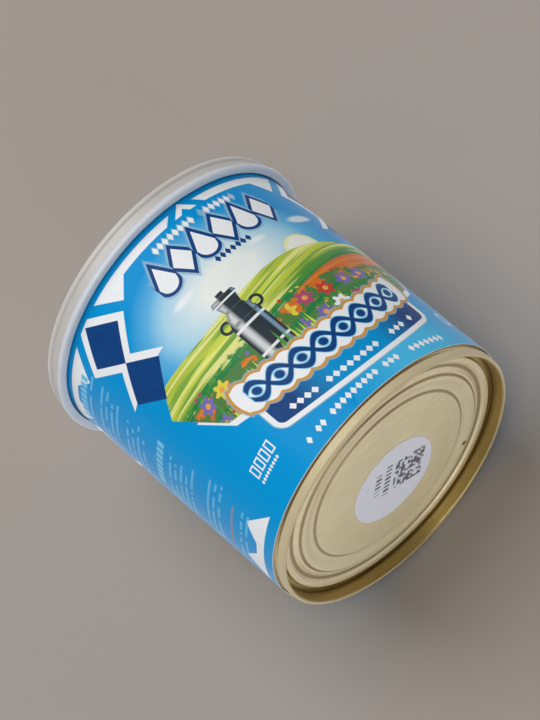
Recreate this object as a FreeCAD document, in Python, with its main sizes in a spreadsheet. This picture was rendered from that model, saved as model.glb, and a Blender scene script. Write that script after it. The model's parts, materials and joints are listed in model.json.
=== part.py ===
import FreeCAD, Part
import math
import os
import re

import Sketcher

# A condensed milk can, closed and lying on its side: a can with a seam and a neck at both
# ends, a paper label, a round date sticker on its metal end, and a plastic overcap. Every
# piece is turned about the can's axis. It is drawn standing, with the metal end's crest at
# zero and the cap at the top, and its Placement lays it down along +Y with the metal end
# towards -Y. Millimetres, +Z up, floor at z = 0, origin under the middle of the can.

SIZES = [
    # alias, value, what it is; heights run along the axis from the metal end's crest
    ("canHeight", 83.2, "can over both seams"),
    ("bodyRadius", 37.95, "tin wall between the necks"),
    ("neckDepth", 1.05, "how far the necks draw in from the wall"),
    ("neckStraight", 0.6, "straight wall between a seam and the slope of its neck"),
    ("neckSlope", 1.8, "height of the slope of a neck"),
    ("seamInset", 0.35, "how far the seams' outside lies within the wall"),
    ("seamHeight", 2.5, "height of a double seam"),
    ("seamWidth", 1.1, "thickness of a double seam"),
    ("seamCrown", 0.45, "rounding of a seam's crest"),
    ("seamHook", 0.25, "rounding of a seam's other edge"),
    ("wallDraft", 0.35, "draft of the wall inside a seam, over its whole height"),
    ("sinkDepth", 3.9, "countersink below the crest"),
    ("sinkWidth", 1.55, "width of the countersink"),
    ("sinkRound", 0.3, "rounding of the countersink"),
    ("endThick", 0.3, "metal left under the countersink"),
    ("plugGap", 0.05, "clearance of the metal end in its neck"),
    ("panelDepth", 3.05, "end panel below the crest"),
    ("panelRound", 0.4, "rounding of the panel's edge"),
    ("grooveInset", 2.9, "middle of the ring groove, in from the panel's edge"),
    ("grooveWidth", 2.6, "width of the ring groove"),
    ("grooveDepth", 0.6, "depth of the ring groove"),
    ("outerInset", 5.1, "outer step, which rises towards the middle, in from the edge"),
    ("slopeInset", 7.4, "slope back down between the steps, in from the edge"),
    ("slopeWidth", 1.8, "width of that slope"),
    ("innerInset", 9.9, "inner step, which rises towards the middle, in from the edge"),
    ("stepRise", 0.4, "rise of both steps"),
    ("stepWidth", 0.5, "width of both steps"),
    ("paperThick", 0.15, "label paper"),
    ("paperGap", 0.02, "clearance of the label on the tin"),
    ("labelLift", 0.3, "label's lower edge above the lower seam"),
    ("labelDrop", 4.3, "label's upper edge below the upper crest"),
    ("lapWidth", 8.0, "label's glued overlap, round the can"),
    ("lapAngle", 140.0, "overlap's turn from the top of the lying can, in degrees"),
    ("stickerRadius", 13.0, "date sticker"),
    ("stickerThick", 0.1, "sticker paper"),
    ("stickerDrop", 3.7, "sticker's middle below the axis of the lying can"),
    ("stickerAside", 0.3, "sticker's middle beside the axis, towards -X"),
    ("capThick", 1.0, "cap's plate"),
    ("capGripGap", 0.3, "clearance of the cap round the upper seam"),
    ("capRimWall", 1.7, "cap's wall at its top rim"),
    ("capRimRound", 0.9, "rounding of the cap's top rim"),
    ("capRimWidth", 4.6, "width of the cap's raised rim"),
    ("capDish", 2.0, "cap's middle below its rim"),
    ("capDishRun", 1.2, "run of the slope from the rim to the middle"),
    ("capWaistWall", 1.25, "cap's wall at its waist"),
    ("capWaistTop", 1.9, "upper end of the waist below the cap's top"),
    ("capWaistBottom", 3.9, "lower end of the waist below the cap's top"),
    ("capSkirt", 6.4, "lower face of the cap's lip below the cap's top"),
    ("capMouthGap", 0.38, "clearance of the lip round the label"),
    ("capLipWidth", 2.2, "width of the lip's lower face and its rounding"),
    ("capLipHeight", 1.3, "height of the lip"),
    ("capLipRound", 0.5, "rounding of the lip"),
    ("capGripRise", 0.8, "height of the slope from the mouth to the grip"),
    ("restFlat", 0.12, "depth of the flats that the can lies on"),
    ("floorThick", 2.0, "slab that cuts the flats"),
]

# Sizes that follow from the others, as formulas of the names above.
NECK_RADIUS = "(bodyRadius - neckDepth)"
SEAM_RADIUS = "(bodyRadius - seamInset)"
SEAM_INSIDE = f"({SEAM_RADIUS} - seamWidth)"
WALL_FOOT = f"({SEAM_INSIDE} - wallDraft)"
PANEL_RADIUS = f"({WALL_FOOT} - sinkWidth)"
GROOVE_RADIUS = f"({PANEL_RADIUS} - grooveInset)"
GROOVE_ARC = "((grooveWidth^2 / 4 + grooveDepth^2) / (2 * grooveDepth))"
OUTER_STEP = f"({PANEL_RADIUS} - outerInset)"
SLOPE_MIDDLE = f"({PANEL_RADIUS} - slopeInset)"
INNER_STEP = f"({PANEL_RADIUS} - innerInset)"
PANEL_TOP = "(panelDepth - stepRise)"
END_BACK = "(sinkDepth + endThick)"
LABEL_INSIDE = "(bodyRadius + paperGap)"
LABEL_RADIUS = f"({LABEL_INSIDE} + paperThick)"
LABEL_BOTTOM = "(seamHeight + labelLift)"
LABEL_TOP = "(canHeight - labelDrop)"
CAP_TOP = "(canHeight + capThick)"
CAP_GRIP = f"({SEAM_RADIUS} + capGripGap)"
CAP_RIM = f"({CAP_GRIP} + capRimWall)"
CAP_WAIST = f"({CAP_GRIP} + capWaistWall)"
CAP_MOUTH = f"({LABEL_RADIUS} + capMouthGap)"
CAP_LIP = f"({CAP_MOUTH} + capLipWidth)"
LIP_BOTTOM = f"({CAP_TOP} - capSkirt)"
LIP_TOP = f"({LIP_BOTTOM} + capLipHeight)"
RIM_INSIDE = f"({CAP_RIM} - capRimWidth)"
DISH_EDGE = f"({RIM_INSIDE} - capDishRun)"

# The can lies on the label's lower edge and on the cap's lip, so its axis rises a little.
LIP_CONTACT = f"({LIP_BOTTOM} + capLipRound)"
TILT = f"atan(({CAP_LIP} - {LABEL_RADIUS}) / ({LIP_CONTACT} - {LABEL_BOTTOM}))"
AXIS_HEIGHT = f"({LABEL_RADIUS} * cos({TILT}) - {LABEL_BOTTOM} * sin({TILT}) - restFlat)"
# How far the can reaches along Y from the crest's middle, towards its metal end and its cap.
REACH_FRONT = f"(seamCrown * (1 - cos({TILT})) + ({SEAM_RADIUS} - seamCrown) * sin({TILT}))"
REACH_BACK = (
    f"(({CAP_TOP} - capRimRound) * cos({TILT})"
    f" + ({CAP_RIM} - capRimRound) * sin({TILT}) + capRimRound)"
)
MIDDLE = f"(({REACH_FRONT} - {REACH_BACK}) / 2)"

doc = FreeCAD.newDocument("MilkCan")
sheet = doc.addObject("Spreadsheet::Sheet", "Sizes")
for row, (alias, value, meaning) in enumerate(SIZES, start=1):
    sheet.set(f"A{row}", meaning)
    sheet.set(f"B{row}", str(value))
    sheet.setAlias(f"B{row}", alias)
doc.recompute()


def bound(formula):
    """The formula with each of its sizes read from the sheet."""
    return re.sub(r"\b([a-z]+[A-Z]\w*)", r"Sizes.\1", formula)


def number(formula):
    """The formula's value now, worked out in a spare cell of the sheet."""
    sheet.set("D1", f"={formula}")
    sheet.recompute()
    return float(sheet.get("D1"))


def origin_plane(body, role):
    """One of a body's own origin planes."""
    return next(plane for plane in body.Origin.OriginFeatures if plane.Role == role)


def arc_centre(start, end, radius, turn):
    """Centre of the short arc from start to end; turn is 1 for a left turn, -1 for right."""
    chord = end - start
    rise = math.sqrt(max(radius**2 - chord.Length**2 / 4, 0.0))
    left = FreeCAD.Vector(-chord.y, chord.x, 0).normalize()
    return (start + end) * 0.5 + left * (turn * rise)


def profile(body, name, outline):
    """A closed sketch in the plane of the axis. Each stop of the outline is (radius, height)
    for a straight run to that point, or (radius, height, arc radius, turn) for an arc."""
    sketch = body.newObject("Sketcher::SketchObject", name)
    sketch.AttachmentSupport = [(origin_plane(body, "XZ_Plane"), "")]
    sketch.MapMode = "FlatFace"
    points = [FreeCAD.Vector(number(stop[0]), number(stop[1]), 0) for stop in outline]
    ends = []
    for index, stop in enumerate(outline):
        start, end = points[index - 1], points[index]
        if len(stop) == 2:
            edge = sketch.addGeometry(Part.LineSegment(start, end), False)
            ends.append((edge, 1, 2))
            continue
        radius, turn = number(stop[2]), stop[3]
        centre = arc_centre(start, end, radius, turn)
        first, last = (start, end) if turn > 0 else (end, start)
        angles = [math.atan2(tip.y - centre.y, tip.x - centre.x) for tip in (first, last)]
        circle = Part.Circle(centre, FreeCAD.Vector(0, 0, 1), radius)
        edge = sketch.addGeometry(Part.ArcOfCircle(circle, *angles), False)
        ends.append((edge, 1, 2) if turn > 0 else (edge, 2, 1))
        rule = sketch.addConstraint(Sketcher.Constraint("Radius", edge, radius))
        sketch.setExpression(f"Constraints[{rule}]", bound(stop[2]))
    for index, stop in enumerate(outline):
        edge, _, tail = ends[index]
        following, head, _ = ends[(index + 1) % len(ends)]
        sketch.addConstraint(Sketcher.Constraint("Coincident", edge, tail, following, head))
        place(sketch, edge, tail, "DistanceX", -2, stop[0], points[index].x)
        place(sketch, edge, tail, "DistanceY", -1, stop[1], points[index].y)
    return sketch


def place(sketch, edge, tip, kind, axis, formula, value):
    """Hold one coordinate of an edge's tip: on the axis where it is zero, else at a size."""
    if value == 0.0:
        sketch.addConstraint(Sketcher.Constraint("PointOnObject", edge, tip, axis))
        return
    rule = sketch.addConstraint(Sketcher.Constraint(kind, -1, 1, edge, tip, value))
    sketch.setExpression(f"Constraints[{rule}]", bound(formula))


def turned(body, name, outline, angle="360"):
    """Turn a profile about the can's axis, by the whole round or evenly to both sides."""
    sketch = profile(body, f"{name}_profile", outline)
    turn = body.newObject("PartDesign::Revolution", f"{name}_turn")
    turn.Profile = sketch
    turn.ReferenceAxis = (sketch, ["V_Axis"])
    turn.setExpression("Angle", bound(angle))
    turn.Midplane = angle != "360"
    return sketch


def lay_down(piece):
    """Lay a standing piece on its side, its lower end towards -Y and its axis tilted up."""
    piece.Placement = FreeCAD.Placement(
        FreeCAD.Vector(), FreeCAD.Rotation(FreeCAD.Vector(1, 0, 0), -90)
    )
    piece.setExpression("Placement.Rotation.Angle", f"{bound(TILT)} - 90 deg")
    piece.setExpression("Placement.Base.y", bound(MIDDLE))
    piece.setExpression("Placement.Base.z", bound(AXIS_HEIGHT))


def new_body(label):
    """An empty, standing body."""
    body = doc.addObject("PartDesign::Body", label)
    body.Label = label
    return body


# The can: the contents and the tin round them as one solid, with the upper seam, which the
# cap hides, and the neck that the metal end sits in.
can_body = new_body("can_body")
turned(can_body, "can", [
    ("0", END_BACK),
    (SEAM_INSIDE, END_BACK),
    (SEAM_INSIDE, "seamHeight"),
    (NECK_RADIUS, "seamHeight"),
    (NECK_RADIUS, "seamHeight + neckStraight"),
    ("bodyRadius", "seamHeight + neckStraight + neckSlope"),
    ("bodyRadius", "canHeight - seamHeight - neckStraight - neckSlope"),
    (NECK_RADIUS, "canHeight - seamHeight - neckStraight"),
    (NECK_RADIUS, "canHeight - seamHeight"),
    (f"{SEAM_RADIUS} - seamHook", "canHeight - seamHeight"),
    (SEAM_RADIUS, "canHeight - seamHeight + seamHook", "seamHook", 1),
    (SEAM_RADIUS, "canHeight - seamCrown"),
    (f"{SEAM_RADIUS} - seamCrown", "canHeight", "seamCrown", 1),
    (f"{SEAM_INSIDE} + seamCrown", "canHeight"),
    (SEAM_INSIDE, "canHeight - seamCrown", "seamCrown", 1),
    (WALL_FOOT, "canHeight - sinkDepth"),
    ("0", "canHeight - sinkDepth"),
])

# The metal end: its double seam, the wall inside it, the countersink, and the panel with a
# ring groove and two steps that stiffen it.
bottom_end = new_body("bottom_end")
turned(bottom_end, "end", [
    ("0", PANEL_TOP),
    (f"{INNER_STEP} - stepWidth / 2", PANEL_TOP),
    (f"{INNER_STEP} + stepWidth / 2", "panelDepth"),
    (f"{SLOPE_MIDDLE} - slopeWidth / 2", "panelDepth"),
    (f"{SLOPE_MIDDLE} + slopeWidth / 2", PANEL_TOP),
    (f"{OUTER_STEP} - stepWidth / 2", PANEL_TOP),
    (f"{OUTER_STEP} + stepWidth / 2", "panelDepth"),
    (f"{GROOVE_RADIUS} - grooveWidth / 2", "panelDepth"),
    (f"{GROOVE_RADIUS} + grooveWidth / 2", "panelDepth", GROOVE_ARC, -1),
    (f"{PANEL_RADIUS} - panelRound", "panelDepth"),
    (PANEL_RADIUS, "panelDepth + panelRound", "panelRound", 1),
    (PANEL_RADIUS, "sinkDepth - sinkRound"),
    (f"{PANEL_RADIUS} + sinkRound", "sinkDepth", "sinkRound", -1),
    (f"{WALL_FOOT} - sinkRound", "sinkDepth"),
    (WALL_FOOT, "sinkDepth - sinkRound", "sinkRound", -1),
    (SEAM_INSIDE, "seamCrown"),
    (f"{SEAM_INSIDE} + seamCrown", "0", "seamCrown", 1),
    (f"{SEAM_RADIUS} - seamCrown", "0"),
    (SEAM_RADIUS, "seamCrown", "seamCrown", 1),
    (SEAM_RADIUS, "seamHeight - seamHook"),
    (f"{SEAM_RADIUS} - seamHook", "seamHeight", "seamHook", 1),
    (f"{SEAM_INSIDE} - plugGap", "seamHeight"),
    (f"{SEAM_INSIDE} - plugGap", END_BACK),
    ("0", END_BACK),
])

# The label: one sheet of paper round the tin, with a second layer where its ends overlap.
label_wrap = new_body("label_wrap")
turned(label_wrap, "label", [
    (LABEL_INSIDE, LABEL_BOTTOM),
    (LABEL_RADIUS, LABEL_BOTTOM),
    (LABEL_RADIUS, LABEL_TOP),
    (LABEL_INSIDE, LABEL_TOP),
])
lap = turned(label_wrap, "lap", [
    (f"{LABEL_RADIUS} - paperThick / 2", LABEL_BOTTOM),
    (f"{LABEL_RADIUS} + paperThick", LABEL_BOTTOM),
    (f"{LABEL_RADIUS} + paperThick", LABEL_TOP),
    (f"{LABEL_RADIUS} - paperThick / 2", LABEL_TOP),
], angle=f"lapWidth / {LABEL_RADIUS} * 180 / pi")
lap.AttachmentOffset = FreeCAD.Placement(
    FreeCAD.Vector(), FreeCAD.Rotation(FreeCAD.Vector(0, 1, 0), 1)
)
lap.setExpression("AttachmentOffset.Rotation.Angle", bound("lapAngle - 90"))

# The date sticker, flat on the middle of the metal end and a little off its centre.
date_sticker = doc.addObject("Part::Cylinder", "date_sticker")
date_sticker.Label = "date_sticker"
date_sticker.setExpression("Radius", bound("stickerRadius"))
date_sticker.setExpression("Height", bound("stickerThick"))

# The overcap: a dished plate, a rounded rim, a waist, and a lip that stands off the label.
# Its plate rests on the crest of the upper seam.
cap_moulding = new_body("cap_moulding")
turned(cap_moulding, "cap", [
    ("0", "canHeight - capDish"),
    (f"{DISH_EDGE} + capThick / 2", "canHeight - capDish"),
    (f"{RIM_INSIDE} + capThick / 2", "canHeight"),
    (CAP_GRIP, "canHeight"),
    (CAP_GRIP, f"{LIP_TOP} + capGripRise"),
    (CAP_MOUTH, LIP_TOP),
    (CAP_MOUTH, LIP_BOTTOM),
    (f"{CAP_LIP} - capLipRound", LIP_BOTTOM),
    (CAP_LIP, f"{LIP_BOTTOM} + capLipRound", "capLipRound", 1),
    (CAP_LIP, f"{LIP_TOP} - capLipRound"),
    (f"{CAP_LIP} - capLipRound", LIP_TOP, "capLipRound", 1),
    (CAP_WAIST, f"{CAP_TOP} - capWaistBottom"),
    (CAP_WAIST, f"{CAP_TOP} - capWaistTop"),
    (CAP_RIM, f"{CAP_TOP} - capRimRound"),
    (f"{CAP_RIM} - capRimRound", CAP_TOP, "capRimRound", 1),
    (RIM_INSIDE, CAP_TOP),
    (DISH_EDGE, f"{CAP_TOP} - capDish"),
    ("0", f"{CAP_TOP} - capDish"),
])
sheet.clear("D1")
doc.recompute()

for piece in (can_body, bottom_end, label_wrap, cap_moulding, date_sticker):
    lay_down(piece)
# The sticker's own place, carried along the tilted axis and down the face of the panel.
STICKER_FACE = f"({PANEL_TOP} - stickerThick)"
date_sticker.setExpression("Placement.Base.x", bound("-stickerAside"))
date_sticker.setExpression("Placement.Base.y", bound(
    f"{MIDDLE} + {STICKER_FACE} * cos({TILT}) + stickerDrop * sin({TILT})"
))
date_sticker.setExpression("Placement.Base.z", bound(
    f"{AXIS_HEIGHT} + {STICKER_FACE} * sin({TILT}) - stickerDrop * cos({TILT})"
))

# The label and the cap touch the floor, and the floor's slab leaves a small flat on each.
floor_slab = doc.addObject("Part::Box", "floor_slab")
floor_slab.setExpression("Length", bound(f"2 * {CAP_LIP}"))
floor_slab.setExpression("Width", bound("2 * canHeight"))
floor_slab.setExpression("Height", bound("floorThick"))
floor_slab.setExpression("Placement.Base.x", bound(f"-{CAP_LIP}"))
floor_slab.setExpression("Placement.Base.y", bound("-canHeight"))
floor_slab.setExpression("Placement.Base.z", bound("-floorThick"))


def rested(label, piece):
    """A laid piece with its flat cut where it meets the floor."""
    cut = doc.addObject("Part::Cut", label)
    cut.Label = label
    cut.Base = piece
    cut.Tool = floor_slab
    return cut


paper_label = rested("paper_label", label_wrap)
overcap = rested("overcap", cap_moulding)

doc.recompute()
for thing in doc.Objects:
    if "Invalid" in thing.State or "Error" in thing.State:
        raise RuntimeError(f"{thing.Name}: {thing.State}")
NODES = [can_body, bottom_end, paper_label, date_sticker, overcap]
for node in NODES:
    if node.Shape.isNull() or not node.Shape.isValid() or len(node.Shape.Solids) != 1:
        raise RuntimeError(f"{node.Label}: not one valid solid")

os.makedirs("parts", exist_ok=True)
for node in NODES:
    node.Shape.exportStep(f"parts/{node.Label}.step")
    box = node.Shape.BoundBox
    print(f"{node.Label}: {node.Shape.Volume:.1f} mm3, x {box.XMin:.2f}..{box.XMax:.2f}, "
          f"y {box.YMin:.2f}..{box.YMax:.2f}, z {box.ZMin:.2f}..{box.ZMax:.2f}")
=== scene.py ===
"""A condensed milk can that lies on its side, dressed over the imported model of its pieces.

The can is a tin with a seam and a neck at both ends, a paper label round its wall, a round
date sticker on its metal end, and a plastic overcap. All five pieces are surfaces turned about
the can's axis. Sizes are in millimetres and in the can's own frame: the radius from the axis,
the height along it from the metal end's crest, and the angle from the top of the lying can
towards +X. Axis.place carries them into the model's frame, in metres.
"""
import json
import logging
import math
from dataclasses import dataclass
from enum import Enum
from typing import Callable, Sequence

import bpy
import numpy as np
from mathutils import Matrix, Vector

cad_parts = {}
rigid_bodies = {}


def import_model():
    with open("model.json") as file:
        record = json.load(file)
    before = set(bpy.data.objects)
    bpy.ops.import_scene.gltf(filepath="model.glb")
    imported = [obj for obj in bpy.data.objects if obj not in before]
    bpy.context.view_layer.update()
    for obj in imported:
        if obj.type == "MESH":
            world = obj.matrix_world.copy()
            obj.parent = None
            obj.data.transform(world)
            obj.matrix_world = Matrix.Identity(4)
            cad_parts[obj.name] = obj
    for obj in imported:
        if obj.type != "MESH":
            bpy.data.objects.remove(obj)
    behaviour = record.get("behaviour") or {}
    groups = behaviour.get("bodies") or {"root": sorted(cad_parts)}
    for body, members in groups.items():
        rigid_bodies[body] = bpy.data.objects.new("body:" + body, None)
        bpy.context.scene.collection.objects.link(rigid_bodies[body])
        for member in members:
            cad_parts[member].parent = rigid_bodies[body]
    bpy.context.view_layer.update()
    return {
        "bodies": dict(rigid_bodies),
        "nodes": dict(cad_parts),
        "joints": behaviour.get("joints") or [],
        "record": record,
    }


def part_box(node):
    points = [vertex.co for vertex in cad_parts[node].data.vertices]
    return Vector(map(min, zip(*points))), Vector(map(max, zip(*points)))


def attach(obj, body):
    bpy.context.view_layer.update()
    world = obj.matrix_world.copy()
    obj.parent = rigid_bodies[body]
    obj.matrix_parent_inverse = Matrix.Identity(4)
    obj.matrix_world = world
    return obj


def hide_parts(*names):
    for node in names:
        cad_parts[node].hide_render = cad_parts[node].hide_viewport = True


LOG = logging.getLogger("milk_can")
MM = 0.001
FULL_TURN = 2.0 * math.pi

Colour = tuple[float, float, float]
Shape = Callable[[np.ndarray, np.ndarray, np.ndarray], tuple[np.ndarray, np.ndarray]]


def ink(red: int, green: int, blue: int) -> Colour:
    """A display colour, 0 to 255 a channel, as the linear colour that a shader takes.

    Args:
        red: display red.
        green: display green.
        blue: display blue.

    Returns:
        The colour in linear light, by the usual display curve.
    """
    shares = np.array([red, green, blue]) / 255.0
    linear = np.where(shares <= 0.04045, shares / 12.92, ((shares + 0.055) / 1.055) ** 2.4)
    return tuple(float(share) for share in linear)


class Slot(Enum):
    """The record's material slots."""

    TIN = "tin"
    GOLD = "gold_lacquer"
    LABEL = "label_paper"
    STICKER = "sticker_paper"
    CAP = "cap_plastic"


# --- the can's frame -------------------------------------------------------------------


def half_width(node: str) -> float:
    """Half of a CAD node's width across the can, in millimetres."""
    low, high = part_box(node)
    return (high[0] - low[0]) / 2.0 / MM


@dataclass(frozen=True)
class Can:
    """Sizes that the can's pieces share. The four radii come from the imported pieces."""

    wall: float
    seam: float
    label: float
    lip: float
    height: float = 83.2
    seam_height: float = 2.5
    seam_width: float = 1.1
    seam_crown: float = 0.45
    seam_hook: float = 0.25
    wall_draft: float = 0.35
    sink_depth: float = 3.9
    end_plate: float = 0.3
    plug_gap: float = 0.05
    paper: float = 0.15
    label_bottom: float = 2.8
    label_drop: float = 4.3
    cap_plate: float = 1.0
    cap_skirt: float = 6.4
    lip_round: float = 0.5

    @classmethod
    def from_frame(cls) -> "Can":
        """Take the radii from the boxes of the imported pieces."""
        nodes = ("can_body", "bottom_end", "paper_label", "overcap")
        return cls(*(half_width(node) for node in nodes))

    @property
    def seam_inside(self) -> float:
        """Radius of the wall inside a seam, at its crest."""
        return self.seam - self.seam_width

    @property
    def wall_foot(self) -> float:
        """Radius of the wall inside a seam, at its foot."""
        return self.seam_inside - self.wall_draft

    @property
    def cap_top(self) -> float:
        """Height of the cap's rim."""
        return self.height + self.cap_plate

    @property
    def lip_bottom(self) -> float:
        """Height of the lower face of the cap's lip."""
        return self.cap_top - self.cap_skirt


@dataclass(frozen=True)
class Axis:
    """Where the can's axis lies in the model's frame.

    The lying can touches the floor with the label's lower edge and with the cap's lip, so its
    axis rises a little towards the cap.
    """

    tilt: float
    middle: float
    rise: float

    @classmethod
    def from_frame(cls, can: Can) -> "Axis":
        """Find the axis from the can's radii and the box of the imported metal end.

        Args:
            can: the shared sizes.

        Returns:
            The axis. Its tilt is the difference of the two radii over the run between the two
            contacts, and the box of the metal end gives its place along Y and Z.
        """
        run = can.lip_bottom + can.lip_round - can.label_bottom
        tilt = math.atan((can.lip - can.label) / run)
        low, high = (np.array(corner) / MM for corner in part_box("bottom_end"))
        crown = can.seam_crown
        reach = crown * (1.0 - math.cos(tilt)) + (can.seam - crown) * math.sin(tilt)
        wall_middle = (can.seam_height - can.seam_hook + crown) / 2.0
        return cls(
            tilt=tilt,
            middle=float(low[1]) + reach,
            rise=float(low[2] + high[2]) / 2.0 - wall_middle * math.sin(tilt),
        )

    def place(self, aside: np.ndarray, above: np.ndarray, height: np.ndarray) -> np.ndarray:
        """Carry points from the can's frame into the model's.

        Args:
            aside: distances from the axis towards +X.
            above: distances above the axis, square to it.
            height: heights along the axis from the metal end's crest.

        Returns:
            The points in metres, turned by the tilt about X and moved to the axis. None goes
            under the floor, which presses a small flat on what lies on it.
        """
        cosine, sine = math.cos(self.tilt), math.sin(self.tilt)
        along = self.middle + height * cosine - above * sine
        up = self.rise + height * sine + above * cosine
        return np.stack([aside, along, np.maximum(up, 0.0)], axis=-1) * MM

    def point(self, aside: float, above: float, height: float) -> Vector:
        """One point of the can's frame in the model's, in metres."""
        return Vector(self.place(np.array(aside), np.array(above), np.array(height)).tolist())


# --- meshes ----------------------------------------------------------------------------


def rounded_outline(
    corners: Sequence[tuple[float, ...]], longest: float = 2.0, arc_steps: int = 5,
) -> np.ndarray:
    """Points along an outline with rounded corners.

    Each corner is (radius, height) or (radius, height, rounding). A rounding is the arc that
    touches both sides of its corner: it starts at rounding x tan(half the turn) from the
    corner. Straight runs get a point close to each end, which keeps them flat under smooth
    shading, and more points so that none is longer than the given length.

    Args:
        corners: the corners in order.
        longest: longest straight run between two points.
        arc_steps: pieces of each arc.

    Returns:
        The points as an array of (radius, height).
    """
    spots = np.array([corner[:2] for corner in corners], dtype=float)
    path = [spots[:1]]
    for before, spot, after, corner in zip(spots, spots[1:], spots[2:], corners[1:]):
        rounding = corner[2] if len(corner) > 2 else 0.0
        if rounding == 0.0:
            path.append(spot[None])
            continue
        toward = (before - spot) / np.linalg.norm(before - spot)
        away = (after - spot) / np.linalg.norm(after - spot)
        half_open = math.acos(float(np.clip(toward @ away, -1.0, 1.0))) / 2.0
        bisector = (toward + away) / np.linalg.norm(toward + away)
        centre = spot + bisector * rounding / math.sin(half_open)
        reach = rounding / math.tan(half_open)
        starts = [spot + side * reach - centre for side in (toward, away)]
        first, last = (math.atan2(start[1], start[0]) for start in starts)
        sweep = (last - first + math.pi) % FULL_TURN - math.pi
        turns = first + sweep * np.linspace(0.0, 1.0, arc_steps + 1)
        path.append(centre + rounding * np.stack([np.cos(turns), np.sin(turns)], axis=-1))
    path.append(spots[-1:])
    points = np.concatenate(path)
    runs = [points[:1]]
    for start, end in zip(points, points[1:]):
        length = float(np.linalg.norm(end - start))
        holds = [0.06 / length, 1.0 - 0.06 / length] if length > 0.3 else []
        pieces = max(1, math.ceil(length / longest))
        shares = np.unique(np.concatenate([np.linspace(0.0, 1.0, pieces + 1)[1:], holds]))
        runs.append(start + (end - start) * shares[:, None])
    return np.concatenate(runs)


def new_object(name: str, points: np.ndarray, faces: list, smooth: bool = True) -> bpy.types.Object:
    """A mesh object at the origin, with its faces pointing outwards.

    Args:
        name: the piece's name.
        points: its points in metres.
        faces: its faces, each a tuple of point numbers, on a closed surface.
        smooth: whether the faces are shaded smooth.

    Returns:
        The object, linked to the scene. The signed volume of the closed surface, a sum over
        its triangles, tells which way the faces point, and a negative one turns them round.
    """
    quads = np.array([face if len(face) == 4 else (*face, face[-1]) for face in faces])
    one, two, three, four = (points[quads[:, index]] for index in range(4))
    volume = np.einsum("ij,ij->", one, np.cross(two, three))
    volume += np.einsum("ij,ij->", one, np.cross(three, four))
    if volume < 0.0:
        faces = [face[::-1] for face in faces]
    mesh = bpy.data.meshes.new(name)
    mesh.from_pydata(points.tolist(), [], faces)
    mesh.polygons.foreach_set("use_smooth", np.full(len(mesh.polygons), smooth))
    mesh.update()
    piece = bpy.data.objects.new(name, mesh)
    bpy.context.scene.collection.objects.link(piece)
    return piece


def grid_faces(rows: int, columns: int, wrap: bool, start: int = 0) -> np.ndarray:
    """The quads of a grid of points that is numbered row by row.

    Args:
        rows: rows of points.
        columns: points in a row.
        wrap: whether the last column joins the first.
        start: number of the first point.

    Returns:
        An array of quads: each point with its neighbours in its row and in the next.
    """
    row, column = np.meshgrid(
        np.arange(rows - 1), np.arange(columns if wrap else columns - 1), indexing="ij"
    )
    ahead = (column + 1) % columns
    corners = [row * columns + column, row * columns + ahead,
               (row + 1) * columns + ahead, (row + 1) * columns + column]
    return np.stack([corner.ravel() for corner in corners], axis=-1) + start


def turned(
    name: str, axis: Axis, outline: np.ndarray, around: int = 360,
    shape: Shape | None = None, centre: tuple[float, float] = (0.0, 0.0),
) -> bpy.types.Object:
    """A closed solid turned about the can's axis, or about a line beside it.

    A point is radius x sine of the angle aside and radius x cosine of the angle above the
    axis. The outline starts and ends on the axis, where a single point closes each pole.

    Args:
        name: the piece's name.
        axis: the can's axis.
        outline: points of (radius, height).
        around: points round each ring.
        shape: moves the rings' radii and heights, given radii, heights and angles.
        centre: the turning line's distance aside and above the axis.

    Returns:
        The object.
    """
    angles = np.arange(around) * FULL_TURN / around
    radii, angle = np.meshgrid(outline[:, 0], angles, indexing="ij")
    heights = np.repeat(outline[:, 1:2], around, axis=1)
    if shape is not None:
        radii, heights = shape(radii, heights, angle)
    aside = centre[0] + radii * np.sin(angle)
    above = centre[1] + radii * np.cos(angle)
    rings = axis.place(aside, above, heights)
    poles = rings[[0, -1]].mean(axis=1)
    inner = rings[1:-1]
    points = np.concatenate([poles, inner.reshape(-1, 3)])
    faces = grid_faces(len(inner), around, wrap=True, start=2).tolist()
    here = np.arange(around)
    ahead = (here + 1) % around
    last = 2 + (len(inner) - 1) * around
    faces += np.stack([np.zeros_like(here), ahead + 2, here + 2], axis=-1).tolist()
    faces += np.stack([np.ones_like(here), here + last, ahead + last], axis=-1).tolist()
    return new_object(name, points, [tuple(face) for face in faces])


# --- shader nodes ----------------------------------------------------------------------


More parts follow.
